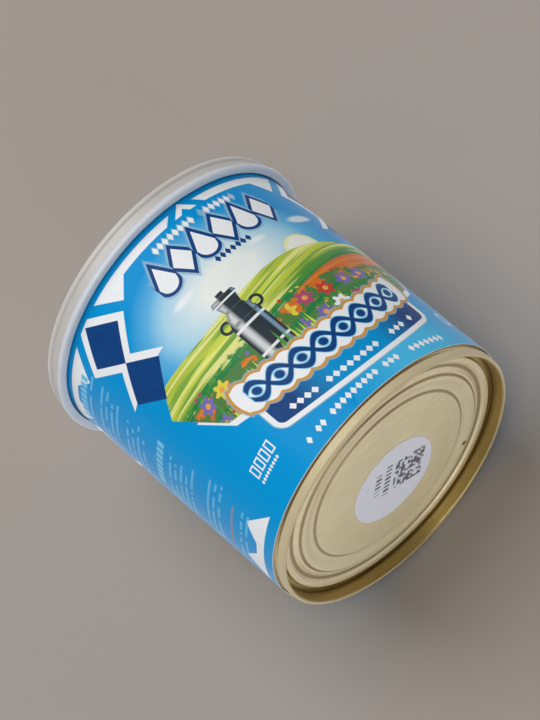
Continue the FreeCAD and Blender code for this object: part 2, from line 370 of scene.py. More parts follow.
class Signal:
    """One socket of a shader, with the arithmetic that adds its Math nodes."""

    def __init__(self, painter: "Painter", socket: bpy.types.NodeSocket) -> None:
        """Keep the painter that adds nodes, and the socket."""
        self.painter = painter
        self.socket = socket

    def __add__(self, other: "Signal | float") -> "Signal":
        """The sum."""
        return self.painter.maths("ADD", self, other)

    def __sub__(self, other: "Signal | float") -> "Signal":
        """The difference."""
        return self.painter.maths("SUBTRACT", self, other)

    def __rsub__(self, other: float) -> "Signal":
        """The difference from a number."""
        return self.painter.maths("SUBTRACT", other, self)

    def __mul__(self, other: "Signal | float") -> "Signal":
        """The product."""
        return self.painter.maths("MULTIPLY", self, other)

    def __truediv__(self, other: "Signal | float") -> "Signal":
        """The quotient."""
        return self.painter.maths("DIVIDE", self, other)

    __radd__ = __add__
    __rmul__ = __mul__

    def least(self, *others: "Signal | float") -> "Signal":
        """The least of this and the others: where shapes overlap."""
        result = self
        for other in others:
            result = self.painter.maths("MINIMUM", result, other)
        return result

    def most(self, *others: "Signal | float") -> "Signal":
        """The greatest of this and the others: shapes joined."""
        result = self
        for other in others:
            result = self.painter.maths("MAXIMUM", result, other)
        return result

    def size(self) -> "Signal":
        """The value without its sign."""
        return self.painter.maths("ABSOLUTE", self)

    def wave(self, period: float, phase: float = 0.0) -> "Signal":
        """The sine of this along a period, with a phase in radians."""
        return self.painter.maths("SINE", self * (FULL_TURN / period) + phase)

    def floor(self) -> "Signal":
        """The whole number below."""
        return self.painter.maths("FLOOR", self)

    def mask(self, soft: float = 0.1) -> "Signal":
        """One where the value is positive and zero where it is negative, with a soft edge."""
        return self.painter.maths("MULTIPLY_ADD", self, 1.0 / soft, 0.5, clamp=True)


Value = Signal | float | Colour


class Painter:
    """Builds the nodes of one material."""

    def __init__(self, name: str) -> None:
        """Start an empty material."""
        self.material = bpy.data.materials.new(name)
        self.material.use_nodes = True
        self.tree = self.material.node_tree
        self.tree.nodes.clear()

    def node(self, kind: str, settings: dict | None = None,
             sockets: dict[int | str, Value] | None = None) -> bpy.types.Node:
        """Add a node.

        Args:
            kind: the node's type.
            settings: its settings, which are set first; "stops" are a ramp's.
            sockets: a value or a link for each named or numbered input.

        Returns:
            The node.
        """
        made = self.tree.nodes.new(kind)
        for key, value in (settings or {}).items():
            if key == "stops":
                self._set_stops(made.color_ramp, value)
            else:
                setattr(made, key, value)
        for key, value in (sockets or {}).items():
            socket = made.inputs[key]
            if isinstance(value, Signal):
                self.tree.links.new(value.socket, socket)
            elif isinstance(value, tuple) and len(socket.default_value) == 4:
                socket.default_value = (*value, 1.0)
            else:
                socket.default_value = value
        return made

    @staticmethod
    def _set_stops(ramp: bpy.types.ColorRamp, stops: Sequence[tuple[float, Colour]]) -> None:
        """Give a ramp its stops, each a place and a colour."""
        while len(ramp.elements) < len(stops):
            ramp.elements.new(1.0)
        for element, (place, colour) in zip(ramp.elements, stops):
            element.position = place
            element.color = (*colour, 1.0)

    def out(self, made: bpy.types.Node, socket: int | str = 0) -> Signal:
        """One output of a node."""
        return Signal(self, made.outputs[socket])

    def maths(self, operation: str, *values: Signal | float, clamp: bool = False) -> Signal:
        """The result of a Math node on the given values."""
        settings = {"operation": operation, "use_clamp": clamp}
        return self.out(self.node("ShaderNodeMath", settings, dict(enumerate(values))))

    def over(self, base: Value, colour: Value, mask: Signal | float) -> Signal:
        """A colour laid over another where a mask is one."""
        made = self.node("ShaderNodeMix", {"data_type": "RGBA"}, {0: mask, 6: base, 7: colour})
        return self.out(made, 2)

    def vector(self, first: Value, second: Value, third: Value = 1.0) -> Signal:
        """A vector of three values. A third of one lets dot add a constant."""
        return self.out(self.node("ShaderNodeCombineXYZ", None, {0: first, 1: second, 2: third}))

    def dot(self, vector: Signal, weights: Colour) -> Signal:
        """The sum of a vector's parts, each times its weight."""
        made = self.node("ShaderNodeVectorMath", {"operation": "DOT_PRODUCT"}, {0: vector, 1: weights})
        return self.out(made, "Value")

    def disc(self, vector: Signal, spot: tuple[float, float], radius: float) -> Signal:
        """How far a point lies inside a disc."""
        made = self.node(
            "ShaderNodeVectorMath", {"operation": "DISTANCE"}, {0: vector, 1: (*spot, 1.0)}
        )
        return radius - self.out(made, "Value")

    def side(self, vector: Signal, start: tuple[float, float], end: tuple[float, float]) -> Signal:
        """How far a point lies to the left of the line from start to end.

        Args:
            vector: the point, with a third part of one.
            start: one point of the line.
            end: another point of the line.

        Returns:
            The distance: the point's product with the line's unit normal, less the line's own.
        """
        run, climb = end[0] - start[0], end[1] - start[1]
        length = math.hypot(run, climb)
        normal = (-climb / length, run / length)
        return self.dot(vector, (*normal, -(normal[0] * start[0] + normal[1] * start[1])))

    def polygon(self, vector: Signal, corners: Sequence[tuple[float, float]]) -> Signal:
        """How far a point lies inside a convex polygon, given anticlockwise."""
        edges = list(zip(corners, [*corners[1:], corners[0]]))
        sides = [self.side(vector, start, end) for start, end in edges]
        return sides[0].least(*sides[1:])

    def random(self, first: Value, second: Value = 0.0) -> Signal:
        """A random number from 0 to 1 for each pair of whole numbers."""
        settings = {"noise_dimensions": "2D"}
        cell = self.vector(first, second, 0.0)
        return self.out(self.node("ShaderNodeTexWhiteNoise", settings, {"Vector": cell}), "Value")

    def noise(self, vector: Signal, scale: float, detail: float = 2.0) -> Signal:
        """Smooth noise from 0 to 1, with a frequency per unit of the vector."""
        sockets = {"Vector": vector, "Scale": scale, "Detail": detail}
        return self.out(self.node("ShaderNodeTexNoise", None, sockets), "Fac")

    def ramp(self, value: Signal, stops: Sequence[tuple[float, Colour]], way: str = "EASE") -> Signal:
        """A colour picked from a ramp by a value from 0 to 1."""
        made = self.node("ShaderNodeValToRGB", {"stops": stops}, {0: value})
        made.color_ramp.interpolation = way
        return self.out(made, "Color")

    def split(self, vector: Signal) -> tuple[Signal, Signal, Signal]:
        """A vector's three parts."""
        made = self.node("ShaderNodeSeparateXYZ", None, {0: vector})
        return self.out(made, 0), self.out(made, 1), self.out(made, 2)

    def stretched(self, vector: Signal, scale: Colour, turn: Colour = (0.0, 0.0, 0.0)) -> Signal:
        """A vector turned and then scaled along each of its parts."""
        settings = {"vector_type": "POINT"}
        turned_vector = self.node("ShaderNodeMapping", settings, {"Vector": vector, "Rotation": turn})
        sockets = {"Vector": self.out(turned_vector), "Scale": scale}
        return self.out(self.node("ShaderNodeMapping", settings, sockets))

    def can_point(self, axis: Axis) -> Signal:
        """The point in the can's frame: aside, height and above, in millimetres.

        Args:
            axis: the can's axis.

        Returns:
            Object coordinates scaled to millimetres, turned back by the tilt and moved so that
            the metal end's crest is the origin.
        """
        where = self.out(self.node("ShaderNodeTexCoord"), "Object")
        cosine, sine = math.cos(axis.tilt), math.sin(axis.tilt)
        shift = (0.0, -(axis.middle * cosine + axis.rise * sine),
                 -(axis.rise * cosine - axis.middle * sine))
        sockets = {"Vector": where, "Location": shift, "Rotation": (-axis.tilt, 0.0, 0.0),
                   "Scale": (1.0 / MM, 1.0 / MM, 1.0 / MM)}
        return self.out(self.node("ShaderNodeMapping", {"vector_type": "POINT"}, sockets))

    def bump(self, height: Signal, depth: float) -> Signal:
        """A normal that a height from 0 to 1 tips, as relief of a depth in millimetres."""
        return self.out(self.node("ShaderNodeBump", None, {"Height": height, "Distance": depth * MM}))

    def surface(self, sockets: dict[int | str, Value]) -> bpy.types.Material:
        """Close the material with a Principled surface that has these sockets."""
        shader = self.out(self.node("ShaderNodeBsdfPrincipled", None, sockets), "BSDF")
        self.node("ShaderNodeOutputMaterial", None, {"Surface": shader})
        return self.material


# --- finishes --------------------------------------------------------------------------


@dataclass(frozen=True)
class GoldLacquer:
    """Tinplate under a thin gold lacquer, with the straight grain of rolled sheet."""

    tint: Colour = ink(246, 232, 196)
    deep: Colour = ink(214, 196, 150)
    wall: Colour = ink(190, 168, 112)
    # painted shade for the rings in the panel's creases and at the foot of the wall
    painted_shade: Colour = ink(126, 100, 54)
    outer: Colour = ink(206, 190, 152)
    speck: Colour = ink(110, 66, 44)
    panel_radius: float = 34.7
    step_radii: tuple[float, float] = (24.75, 29.55)
    groove_radius: float = 31.8
    foot_radius: float = 36.0
    crest_radius: float = 37.0
    grain_turn: float = math.radians(-25.0)
    speck_spot: tuple[float, float] = (18.0, -22.0)
    speck_radius: float = 0.7

    def material(self, axis: Axis) -> bpy.types.Material:
        """The finish of the metal end and the tin.

        Args:
            axis: the can's axis.

        Returns:
            A metal whose colour drifts a little, with long thin streaks of grain in its
            colour, roughness and relief, painted shade in darker rings at the panel's steps,
            in its groove and at the foot of the wall, one brown speck, and tiny nicks on the crest.
        """
        painter = Painter("gold_lacquer")
        point = painter.can_point(axis)
        aside, height, above = painter.split(point)
        flat = painter.vector(aside, above)
        radius = 0.0 - painter.disc(flat, (0.0, 0.0), 0.0)
        turn = (0.0, self.grain_turn, 0.0)
        grain = painter.noise(painter.stretched(point, (0.1, 0.4, 3.2), turn), 1.0, 3.0)
        fine = painter.noise(painter.stretched(point, (0.5, 1.0, 9.0), turn), 1.0)
        drift = painter.noise(point, 0.06)
        panel = (self.panel_radius - radius).mask(0.3)
        inside = (radius - self.panel_radius).least(self.crest_radius - radius, 6.0 - height)
        inner_wall = inside.mask(0.5)
        outside = (radius - self.crest_radius).least(2.6 - height).mask(0.3)
        colour = painter.over(self.tint, self.deep, (drift + grain * 2.0 - 1.3).mask(0.8) * 0.5)
        colour = painter.over(colour, self.wall, inner_wall)
        # painted shade: dark rings at the panel's steps, in its groove and at the wall's foot
        colour = self._paint_ring_shade(painter, colour, radius, height)
        colour = painter.over(colour, self.outer, outside)
        marks = self._marks(painter, point, flat, height)
        colour = painter.over(colour, self.speck, marks)
        bareness = 0.6 + inner_wall * 0.36 - outside * 0.45
        return painter.surface({
            "Base Color": colour, "Metallic": bareness * (1.0 - marks * 0.8),
            "Roughness": 0.24 + grain * 0.22 + panel * 0.06 + outside * 0.2,
            "Normal": painter.bump(grain * 0.6 + fine * 0.4, 0.02),
        })

    def _paint_ring_shade(self, painter: Painter, base: Signal, radius: Signal, height: Signal) -> Signal:
        """Painted shade: darker rings at the panel's steps, in its groove and at the foot of the wall.
        """
        steps = [0.34 - (radius - step).size() for step in self.step_radii]
        trough = 0.5 - (radius - self.groove_radius).size()
        # painted shade in the creases of the steps and in the groove
        painted_ring_shade = steps[0].most(*steps[1:], trough).least(4.2 - height).mask(0.3)
        colour = painter.over(base, self.painted_shade, painted_ring_shade * 0.75)
        # painted shade in the corner at the foot of the wall
        foot = (0.35 - (radius - self.foot_radius).size()).least(height - 3.0).mask(0.3)
        return painter.over(colour, self.painted_shade, foot * 0.85)

    def _marks(self, painter: Painter, point: Signal, flat: Signal, height: Signal) -> Signal:
        """How strongly a point is marked: the speck, nicks on the crest, and dust."""
        nicks = (painter.noise(point, 1.7) - 0.71).least(0.35 - height).mask(0.04)
        spot = painter.disc(flat, self.speck_spot, self.speck_radius)
        dust = (painter.noise(point, 1.1) - 0.78).least(3.3 - height).mask(0.03)
        return spot.mask(0.3).most(nicks * 0.5, dust * 0.6)


@dataclass(frozen=True)
class MilkyPlastic:
    """White polyethylene, a little see-through, with a moulded skin."""

    tint: Colour = ink(205, 201, 197)
    shade: Colour = ink(197, 193, 189)
    # painted light: the bluish tint that the blue label lends the lip
    thin: Colour = ink(209, 215, 224)
    painted_tint_below: float = 80.2

    def material(self, axis: Axis) -> bpy.types.Material:
        """The finish of the overcap.

        Args:
            axis: the can's axis.

        Returns:
            A soft white plastic with slight clouds in its colour, faint rings left by the
            turned mould, fine scuffs in its roughness, and a bluish tint painted on the lip
            as painted light from the blue label beside it.
        """
        painter = Painter("milky_plastic")
        point = painter.can_point(axis)
        aside, height, above = painter.split(point)
        clouds = painter.noise(point, 0.09, 3.0)
        scuffs = painter.noise(painter.stretched(point, (2.5, 0.6, 2.5)), 1.0, 4.0)
        radius = 0.0 - painter.disc(painter.vector(aside, above), (0.0, 0.0), 0.0)
        rings = radius.wave(0.9) * 0.5 + 0.5
        skin = painter.noise(point, 2.2, 2.0)
        colour = painter.over(self.tint, self.shade, (clouds - 0.5).mask(0.5))
        # painted light: the lip below this height is tinted bluish, as by the blue label beside it
        colour = painter.over(colour, self.thin, (self.painted_tint_below - height).mask(1.2))
        return painter.surface({
            "Base Color": colour, "Roughness": 0.34 + scuffs * 0.16,
            "Subsurface Weight": 0.25, "Subsurface Radius": (1.0, 0.9, 0.8),
            "Subsurface Scale": 1.5 * MM, "Specular IOR Level": 0.45,
            "Normal": painter.bump(rings * 0.15 + skin * 0.85, 0.03),
        })


@dataclass(frozen=True)
class StickerPaper:
    """Matt white paper with a small square of printed modules and two rows of short marks."""

    paper: Colour = ink(226, 226, 236)
    fibre: Colour = ink(214, 214, 226)
    print_ink: Colour = ink(62, 56, 58)
    code_spot: tuple[float, float] = (4.5, -5.6)
    code_turn: float = math.radians(-37.0)
    code_half: float = 5.0
    module: float = 0.72
    row_drops: tuple[float, float] = (-7.3, -10.6)
    row_half: tuple[float, float] = (5.2, 4.4)
    mark_height: float = 1.9

    def material(self, axis: Axis) -> bpy.types.Material:
        """The finish of the date sticker.

        Args:
            axis: the can's axis.

        Returns:
            Paper with fine fibres. Each module and mark is inked by its own random number, in
            a frame that is centred on the square and turned with it.
        """
        painter = Painter("sticker_paper")
        point = painter.can_point(axis)
        aside, _, above = painter.split(point)
        cosine, sine = math.cos(self.code_turn), math.sin(self.code_turn)
        spot_x, spot_y = self.code_spot
        flat = painter.vector(aside, above)
        along = painter.dot(flat, (cosine, sine, -(spot_x * cosine + spot_y * sine)))
        beside = painter.dot(flat, (-sine, cosine, spot_x * sine - spot_y * cosine))
        inside = (self.code_half - along.size()).least(self.code_half - beside.size())
        column = (along / self.module).floor()
        row = (beside / self.module).floor()
        inked = (painter.random(column, row) - 0.46).least(inside).mask(0.06)
        for number, (drop, half) in enumerate(zip(self.row_drops, self.row_half)):
            band = (self.mark_height / 2.0 - (along - drop).size()).least(half - beside.size())
            cell = (beside / (self.mark_height * 0.75)).floor()
            centred = (beside - (cell + 0.5) * (self.mark_height * 0.75)).size()
            thick = painter.random(cell, 31.0 + number) * 0.35 + 0.12
            inked = inked.most(band.least(thick - centred).mask(0.08))
        fibres = painter.noise(point, 1.6, 4.0)
        colour = painter.over(self.paper, self.fibre, fibres * 0.6)
        colour = painter.over(colour, self.print_ink, inked * 0.88)
        return painter.surface({
            "Base Color": colour, "Roughness": 0.55 + fibres * 0.2,
            "Normal": painter.bump(fibres, 0.02),
        })


class LabelInk(Enum):
    """The label's printing inks."""

    GROUND = ink(0, 150, 216)
    GROUND_DEEP = ink(0, 142, 210)
    GROUND_PALE = ink(84, 198, 240)
    NAVY = ink(18, 62, 124)
    WHITE = ink(240, 242, 244)
    GLOW = ink(236, 240, 234)
    SKY = ink(120, 196, 232)
    GREY_LINE = ink(150, 186, 212)
    GOLD_LINE = ink(206, 152, 70)
    YELLOW_PALE = ink(240, 236, 150)
    LIME = ink(206, 218, 72)
    LIME_DEEP = ink(178, 194, 66)
    ORANGE = ink(220, 112, 24)
    ORANGE_PALE = ink(232, 164, 76)
    GREEN = ink(34, 128, 64)
    GREEN_MID = ink(84, 150, 56)
    MAGENTA = ink(176, 74, 110)
    VIOLET = ink(122, 110, 178)
    YELLOW = ink(226, 208, 66)
    RED = ink(198, 62, 42)
    BLACK = ink(42, 48, 50)
    BROWN = ink(184, 144, 51)
    MIDDLE_BLUE = ink(12, 146, 208)


@dataclass(frozen=True)
class Place:
    """A point of the print. Across runs round the can from the middle of the front panel and
    height runs along it. Flat holds both and a one, and folded the same without across's sign.
    """

    across: Signal
    height: Signal
    flat: Signal
    folded: Signal


@dataclass(frozen=True)
class Sky:
    """The blue ground, its pale patch low down (partly print, partly painted sheen), and the sky's glow
    that fades into it.
    """

    full_climb: float = 80.0
    shine_spot: tuple[float, float] = (14.0, 5.0)
    shine_radius: float = 24.0
    glow_spot: tuple[float, float] = (-5.8, 52.0)
    glow_radius: float = 34.0
    squeeze: float = 1.75

    def draw(self, painter: Painter, place: Place) -> Signal:
        """Colour by the height, and by how near a point is to the patch and to the glow.

        Args:
            painter: adds the nodes.
            place: the point.

        Returns:
            The colour. The glow is a disc squeezed along the can.
        """
        climb = (place.height / self.full_climb).least(1.0)
        ground = painter.over(LabelInk.GROUND.value, LabelInk.GROUND_DEEP.value, climb * 0.5)
        # partly printed and partly painted sheen: a paler ground round a spot low on the front panel
        low = painter.disc(place.flat, self.shine_spot, self.shine_radius) / self.shine_radius
        ground = painter.over(ground, LabelInk.GROUND_PALE.value, (low - 0.35).mask(0.7) * 0.8)
        squeezed = painter.stretched(place.flat, (1.0, self.squeeze, 1.0))
        spot = (self.glow_spot[0], self.glow_spot[1] * self.squeeze)
        near = painter.disc(squeezed, spot, self.glow_radius) / self.glow_radius
        sky = painter.over(ground, LabelInk.SKY.value, (near - 0.2).mask(0.4))
        return painter.over(sky, LabelInk.GLOW.value, (near - 0.5).mask(0.55))


@dataclass(frozen=True)
class Fields:
    """Rolling fields under a low sun and soft clouds, cut to the slanted panel of the label."""

    clouds: tuple[tuple[float, float, float], ...] = (
        (-17.5, 56.3, 4.2), (7.0, 56.2, 3.4), (24.0, 57.8, 5.0),
    )
    cloud_squeeze: float = 3.2
    sun_spot: tuple[float, float] = (15.5, 47.5)
    sun_radius: float = 5.4
    horizon: float = 47.4
    slant: tuple[tuple[float, float], ...] = ((26.0, 24.0), (33.3, 27.3), (43.4, 42.0), (39.3, 46.3))
    border_height: float = 35.0
    field_foot: float = 24.0
    field_span: float = 27.0
    lush_height: float = 38.5
    bare_height: float = 38.0
    leaf_height: float = 34.0

    def draw(self, painter: Painter, base: Signal, place: Place) -> tuple[Signal, Signal]:
        """Lay the sky's motifs and the fields over the ground.

        Args:
            painter: adds the nodes.
            base: the colour under them.
            place: the point.

        Returns:
            The colour, and how far the point lies inside the land. The land ends at the
            ridge, two waves high, and at the three slanted lines of the panel.
        """
        across, height = place.across, place.height
        colour = self._sky_motifs(painter, base, place)
        roll = across.wave(85.0, 2.6) * 2.6
        ridge = self.horizon - height + across.wave(61.0, 0.4) * 1.3
        foot, knee, shoulder, tip = self.slant
        corner = painter.side(place.folded, shoulder, tip)
        flank = painter.side(place.folded, knee, shoulder)
        sill = painter.side(place.folded, foot, knee)
        border = (sill + 1.7).least(flank + 0.6, self.border_height - height)
        colour = painter.over(colour, LabelInk.WHITE.value, border.mask())
        land = ridge.least(corner, flank, sill)
        colour = painter.over(colour, self._stripes(painter, across, height, roll), land.mask())
        leaves = painter.noise(place.flat, 0.42, 3.0) - 0.47 + (self.leaf_height - height) * 0.012
        foliage = (leaves * 6.0).least(land, self.bare_height - height)
        return painter.over(colour, LabelInk.GREEN.value, foliage.mask(0.3) * 0.9), land

    def _sky_motifs(self, painter: Painter, base: Signal, place: Place) -> Signal:
        """Flattened soft discs for clouds, and a pale sun that is whiter in its middle."""
        colour = base
        flattened = painter.stretched(place.flat, (1.0, self.cloud_squeeze, 1.0))
        for aside, up, reach in self.clouds:
            puff = painter.disc(flattened, (aside, up * self.cloud_squeeze), reach)
            colour = painter.over(colour, LabelInk.WHITE.value, (puff - 0.9).mask(2.2) * 0.8)
        sun = painter.disc(place.flat, self.sun_spot, self.sun_radius)
        colour = painter.over(colour, LabelInk.YELLOW_PALE.value, sun.mask(0.3))
        return painter.over(colour, LabelInk.WHITE.value, (sun - 0.7).mask(1.2) * 0.85)

    def _stripes(self, painter: Painter, across: Signal, height: Signal, roll: Signal) -> Signal:
        """Stripes that roll with the land, long streaks in the green and furrows below it.

        Args:
            painter: adds the nodes.
            across: the coordinate round the can.
            height: the coordinate along it.
            roll: how far the land rolls up or down at this coordinate.

        Returns:
            The colour of the land.
        """
        level = height + roll - across * 0.06
        stops = [
            (0.0, LabelInk.GREEN.value), (0.13, LabelInk.GREEN_MID.value),
            (0.22, LabelInk.ORANGE_PALE.value), (0.3, LabelInk.GREEN.value),
            (0.36, LabelInk.ORANGE.value), (0.5, LabelInk.ORANGE.value),
            (0.54, LabelInk.GREEN.value), (0.6, LabelInk.GREEN_MID.value),
            (0.66, LabelInk.LIME_DEEP.value), (0.78, LabelInk.LIME.value),
            (0.86, LabelInk.LIME_DEEP.value), (1.0, LabelInk.LIME.value),
        ]
        colour = painter.ramp((level - self.field_foot) / self.field_span, stops)
        lush = (level - self.lush_height).mask(1.0)
        dark = painter.noise(painter.vector(across * 0.035 + 3.0, level * 0.62, 0.0), 1.0, 1.0)
        dark_mask = (dark - 0.55).mask(0.07) * lush * 0.75
        colour = painter.over(colour, LabelInk.GREEN_MID.value, dark_mask)
        pale = painter.noise(painter.vector(across * 0.03 + 9.0, level * 0.8, 0.0), 1.0, 1.0)
        pale_mask = (pale - 0.56).mask(0.06) * lush * 0.8
        colour = painter.over(colour, LabelInk.YELLOW_PALE.value, pale_mask)
        furrows = (level - roll * 0.4).wave(2.3) - 0.55
        bare = (furrows * 0.5).least(self.bare_height - level).mask(0.3)
        return painter.over(colour, LabelInk.ORANGE_PALE.value, bare * 0.3)


@dataclass(frozen=True)
class Churn:
    """A dark milk churn: a trunk with two pale hoops, shoulders, a neck, a lid and two ears."""

    middle: float = -11.0
    foot: float = 28.0
    stages: tuple[tuple[float, float, float, float], ...] = (
        (4.6, 0.0, 4.6, 13.0), (4.6, 13.0, 2.6, 17.2), (2.6, 17.2, 3.3, 20.0),
        (3.9, 20.5, 3.4, 21.8), (1.1, 21.8, 1.1, 22.9),
    )
    hoop_heights: tuple[float, float] = (2.2, 11.2)
    rod_half: float = 0.4
    ear_aside: float = 4.9
    ear_height: float = 14.4
    ear_radius: float = 1.5
    sheen_aside: float = -2.4
    edge_aside: float = 3.4

    def draw(self, painter: Painter, base: Signal, flat: Signal) -> Signal:
        """Lay the churn over the picture.

        Args:
            painter: adds the nodes.
            base: the colour under it.
            flat: the point.

        Returns:
            The colour. Each stage is a trapezium, given by half of its width and its height at
            its foot and at its top, the ears are rings, and a sheen and a pale line run down.
        """
        trunk, *others = (painter.polygon(flat, self._trapezium(*stage)) for stage in self.stages)
        ears = [
            self.rod_half - painter.disc(
                flat, (self.middle + aside, self.foot + self.ear_height), self.ear_radius).size()
            for aside in (-self.ear_aside, self.ear_aside)
        ]
        shape = trunk.most(*others, *ears)
        colour = painter.over(base, LabelInk.BLACK.value, shape.mask())
        aside, up, _ = painter.split(flat)
        hoops = [self.rod_half - (up - (self.foot + level)).size() for level in self.hoop_heights]
        hoop = hoops[0].most(hoops[1]).least(trunk)
        colour = painter.over(colour, LabelInk.WHITE.value, hoop.mask() * 0.9)
        sheen = 1.0 - (aside - (self.middle + self.sheen_aside)).size()
        sheen_mask = sheen.least(shape - 0.3).mask(1.2) * 0.75
        colour = painter.over(colour, LabelInk.WHITE.value, sheen_mask)
        edge = (0.5 - (aside - (self.middle + self.edge_aside)).size()).least(shape - 0.2)
        return painter.over(colour, LabelInk.GREY_LINE.value, edge.mask(0.5) * 0.6)

    def _trapezium(self, low_half: float, low: float, high_half: float,
                   high: float) -> list[tuple[float, float]]:
        """The corners of one stage, anticlockwise."""
        middle, foot = self.middle, self.foot
        return [(middle - low_half, foot + low), (middle + low_half, foot + low),
                (middle + high_half, foot + high), (middle - high_half, foot + high)]


@dataclass(frozen=True)
class Meadow:
    """Blades of grass along the foot of the picture, and blossoms of six petals among them."""

    blades: tuple[tuple[float, float, LabelInk, float], ...] = (
        (1.5, 9.0, LabelInk.GREEN_MID, 3.0), (1.1, 6.5, LabelInk.LIME, 8.0),
    )
    blade_foot: float = 26.0
    cell: float = 6.2
    jog: float = 1.1
    petal_reach: float = 2.05
    heart_radius: float = 0.75
    highest: float = 38.5
    gap: tuple[float, float] = (-17.0, -3.0)

    def grass(self, painter: Painter, base: Signal, place: Place, land: Signal) -> Signal:
        """Lay the grass over the picture.

        Args:
            painter: adds the nodes.
            base: the colour under it.
            place: the point.
            land: how far the point lies inside the land.

        Returns:
            The colour, with a thin triangle of random height and lean in each cell.
        """
        colour = base
        for width, reach, tint, seed in self.blades:
            cell = (place.across / width).floor()
            tip = self.blade_foot - 0.5 + painter.random(cell, seed) * reach
            lean = (painter.random(cell, seed + 1.0) - 0.5) * 0.12
            bend = (place.height - self.blade_foot) * lean
            aside = place.across - (cell + 0.5) * width - bend
            blade = (tip - place.height) * 0.09 - aside.size()
            colour = painter.over(colour, tint.value, blade.least(land).mask())
        return colour

    def blossoms(self, painter: Painter, base: Signal, place: Place, land: Signal) -> Signal:
        """Lay the blossoms over the picture, with none in front of the churn.

        Args:
            painter: adds the nodes.
            base: the colour under them.
            place: the point.
            land: how far the point lies inside the land.

        Returns:
            The colour. Most square cells hold a blossom, jogged off its middle. Its outline is
            a circle whose radius swells with the cosine of six times the angle.
        """
        stops = [(0.0, LabelInk.MAGENTA.value), (0.2, LabelInk.VIOLET.value),
                 (0.4, LabelInk.RED.value), (0.62, LabelInk.YELLOW.value),
                 (0.84, LabelInk.WHITE.value)]
        column = (place.across / self.cell).floor()
        row = (place.height / self.cell).floor()
        jog = (painter.random(column, row) - 0.5) * self.jog
        rise = (painter.random(row, column) - 0.5) * self.jog
        aside = place.across - (column + 0.5) * self.cell - jog
        above = place.height - (row + 0.5) * self.cell - rise
        local = painter.vector(aside, above)
        angle = painter.maths("ARCTAN2", above, aside)
        petals = painter.maths("COSINE", angle * 6.0) * 0.5 + self.petal_reach
        bloom = petals + painter.disc(local, (0.0, 0.0), 0.0)
        chosen = painter.random(column + 40.0, row) - 0.22
        left, right = self.gap
        beside = (place.across - right).most(left - place.across)
        zone = beside.least(self.highest - place.height, chosen * 4.0, land - 0.3)
        tint = painter.ramp(painter.random(column, row + 7.0), stops, "CONSTANT")
        colour = painter.over(base, tint, bloom.least(zone).mask(0.12))
        heart = painter.disc(local, (0.0, 0.0), self.heart_radius).least(zone)
        return painter.over(colour, LabelInk.ORANGE_PALE.value, heart.mask(0.12))


@dataclass(frozen=True)
class Borders:
    """The white bands with their triangles, the chevron, and the framed navy diamonds."""

    top: float = 76.3
    foot: float = 74.0
    low_top: float = 9.0
    low_foot: float = 6.5
    diamond_middle: float = 39.3
    diamond_reach: float = 7.5
    frame_reach: float = 10.3
    crossing: float = 60.8
    frame_drop: float = 7.2

    def bands(self, painter: Painter, base: Signal, place: Place) -> Signal:
        """Lay the bands and the chevron over the print.

        Args:
            painter: adds the nodes.
            base: the colour under them.
            place: the point.

        Returns:
            The colour. Each band is what lies inside its straight sides, in folded.
        """
        folded, height = place.folded, place.height
        top, foot = self.top, self.foot
        roof = top - height
        start = painter.side(folded, (3.8, top), (6.3, foot))
        fall = painter.side(folded, (26.8, 69.8), (33.0, top))
        drop = painter.side(folded, (22.0, foot), (26.8, 69.8)).least(fall)
        inner = roof.least(start, fall, (height - foot).most(drop))
        outer_start = painter.side(folded, (45.5, top), (52.5, 69.8))
        outer_fall = painter.side(folded, (52.5, 69.8), (56.8, 73.9))
        outer = roof.least(outer_start, (height - foot).most(outer_fall))
        low_start = painter.side(folded, (53.1, 13.1), (46.2, self.low_foot))
        low_fall = painter.side(folded, (58.0, 8.9), (53.1, 13.1))
        lower = (height - self.low_foot).least(low_start, (self.low_top - height).most(low_fall))
        peak = painter.side(folded, (3.5, foot), (0.0, 77.5))
        hollow = painter.side(folded, (1.4, foot), (0.0, 75.5))
        chevron = peak.least(0.0 - hollow, height - foot)
        return painter.over(base, LabelInk.WHITE.value, inner.most(outer, lower, chevron).mask())

    def diamonds(self, painter: Painter, base: Signal, place: Place) -> Signal:
        """Lay two navy diamonds, tip to tip, in white frames that cross between them.

        Args:
            painter: adds the nodes.
            base: the colour under them.
            place: the point.

        Returns:
            The colour. A diamond's edge is where the distances across and along add up.
        """
        level = place.height - self.crossing
        beside = (place.across.size() - self.diamond_middle).size()
        spread = beside + (level.size() - self.diamond_reach).size()
        cut = (self.top - place.height).least(level + self.frame_drop)
        frame = (self.frame_reach - spread).least(cut)
        colour = painter.over(base, LabelInk.WHITE.value, frame.mask(0.14))
        navy = self.diamond_reach - spread
        return painter.over(colour, LabelInk.NAVY.value, navy.mask(0.14))


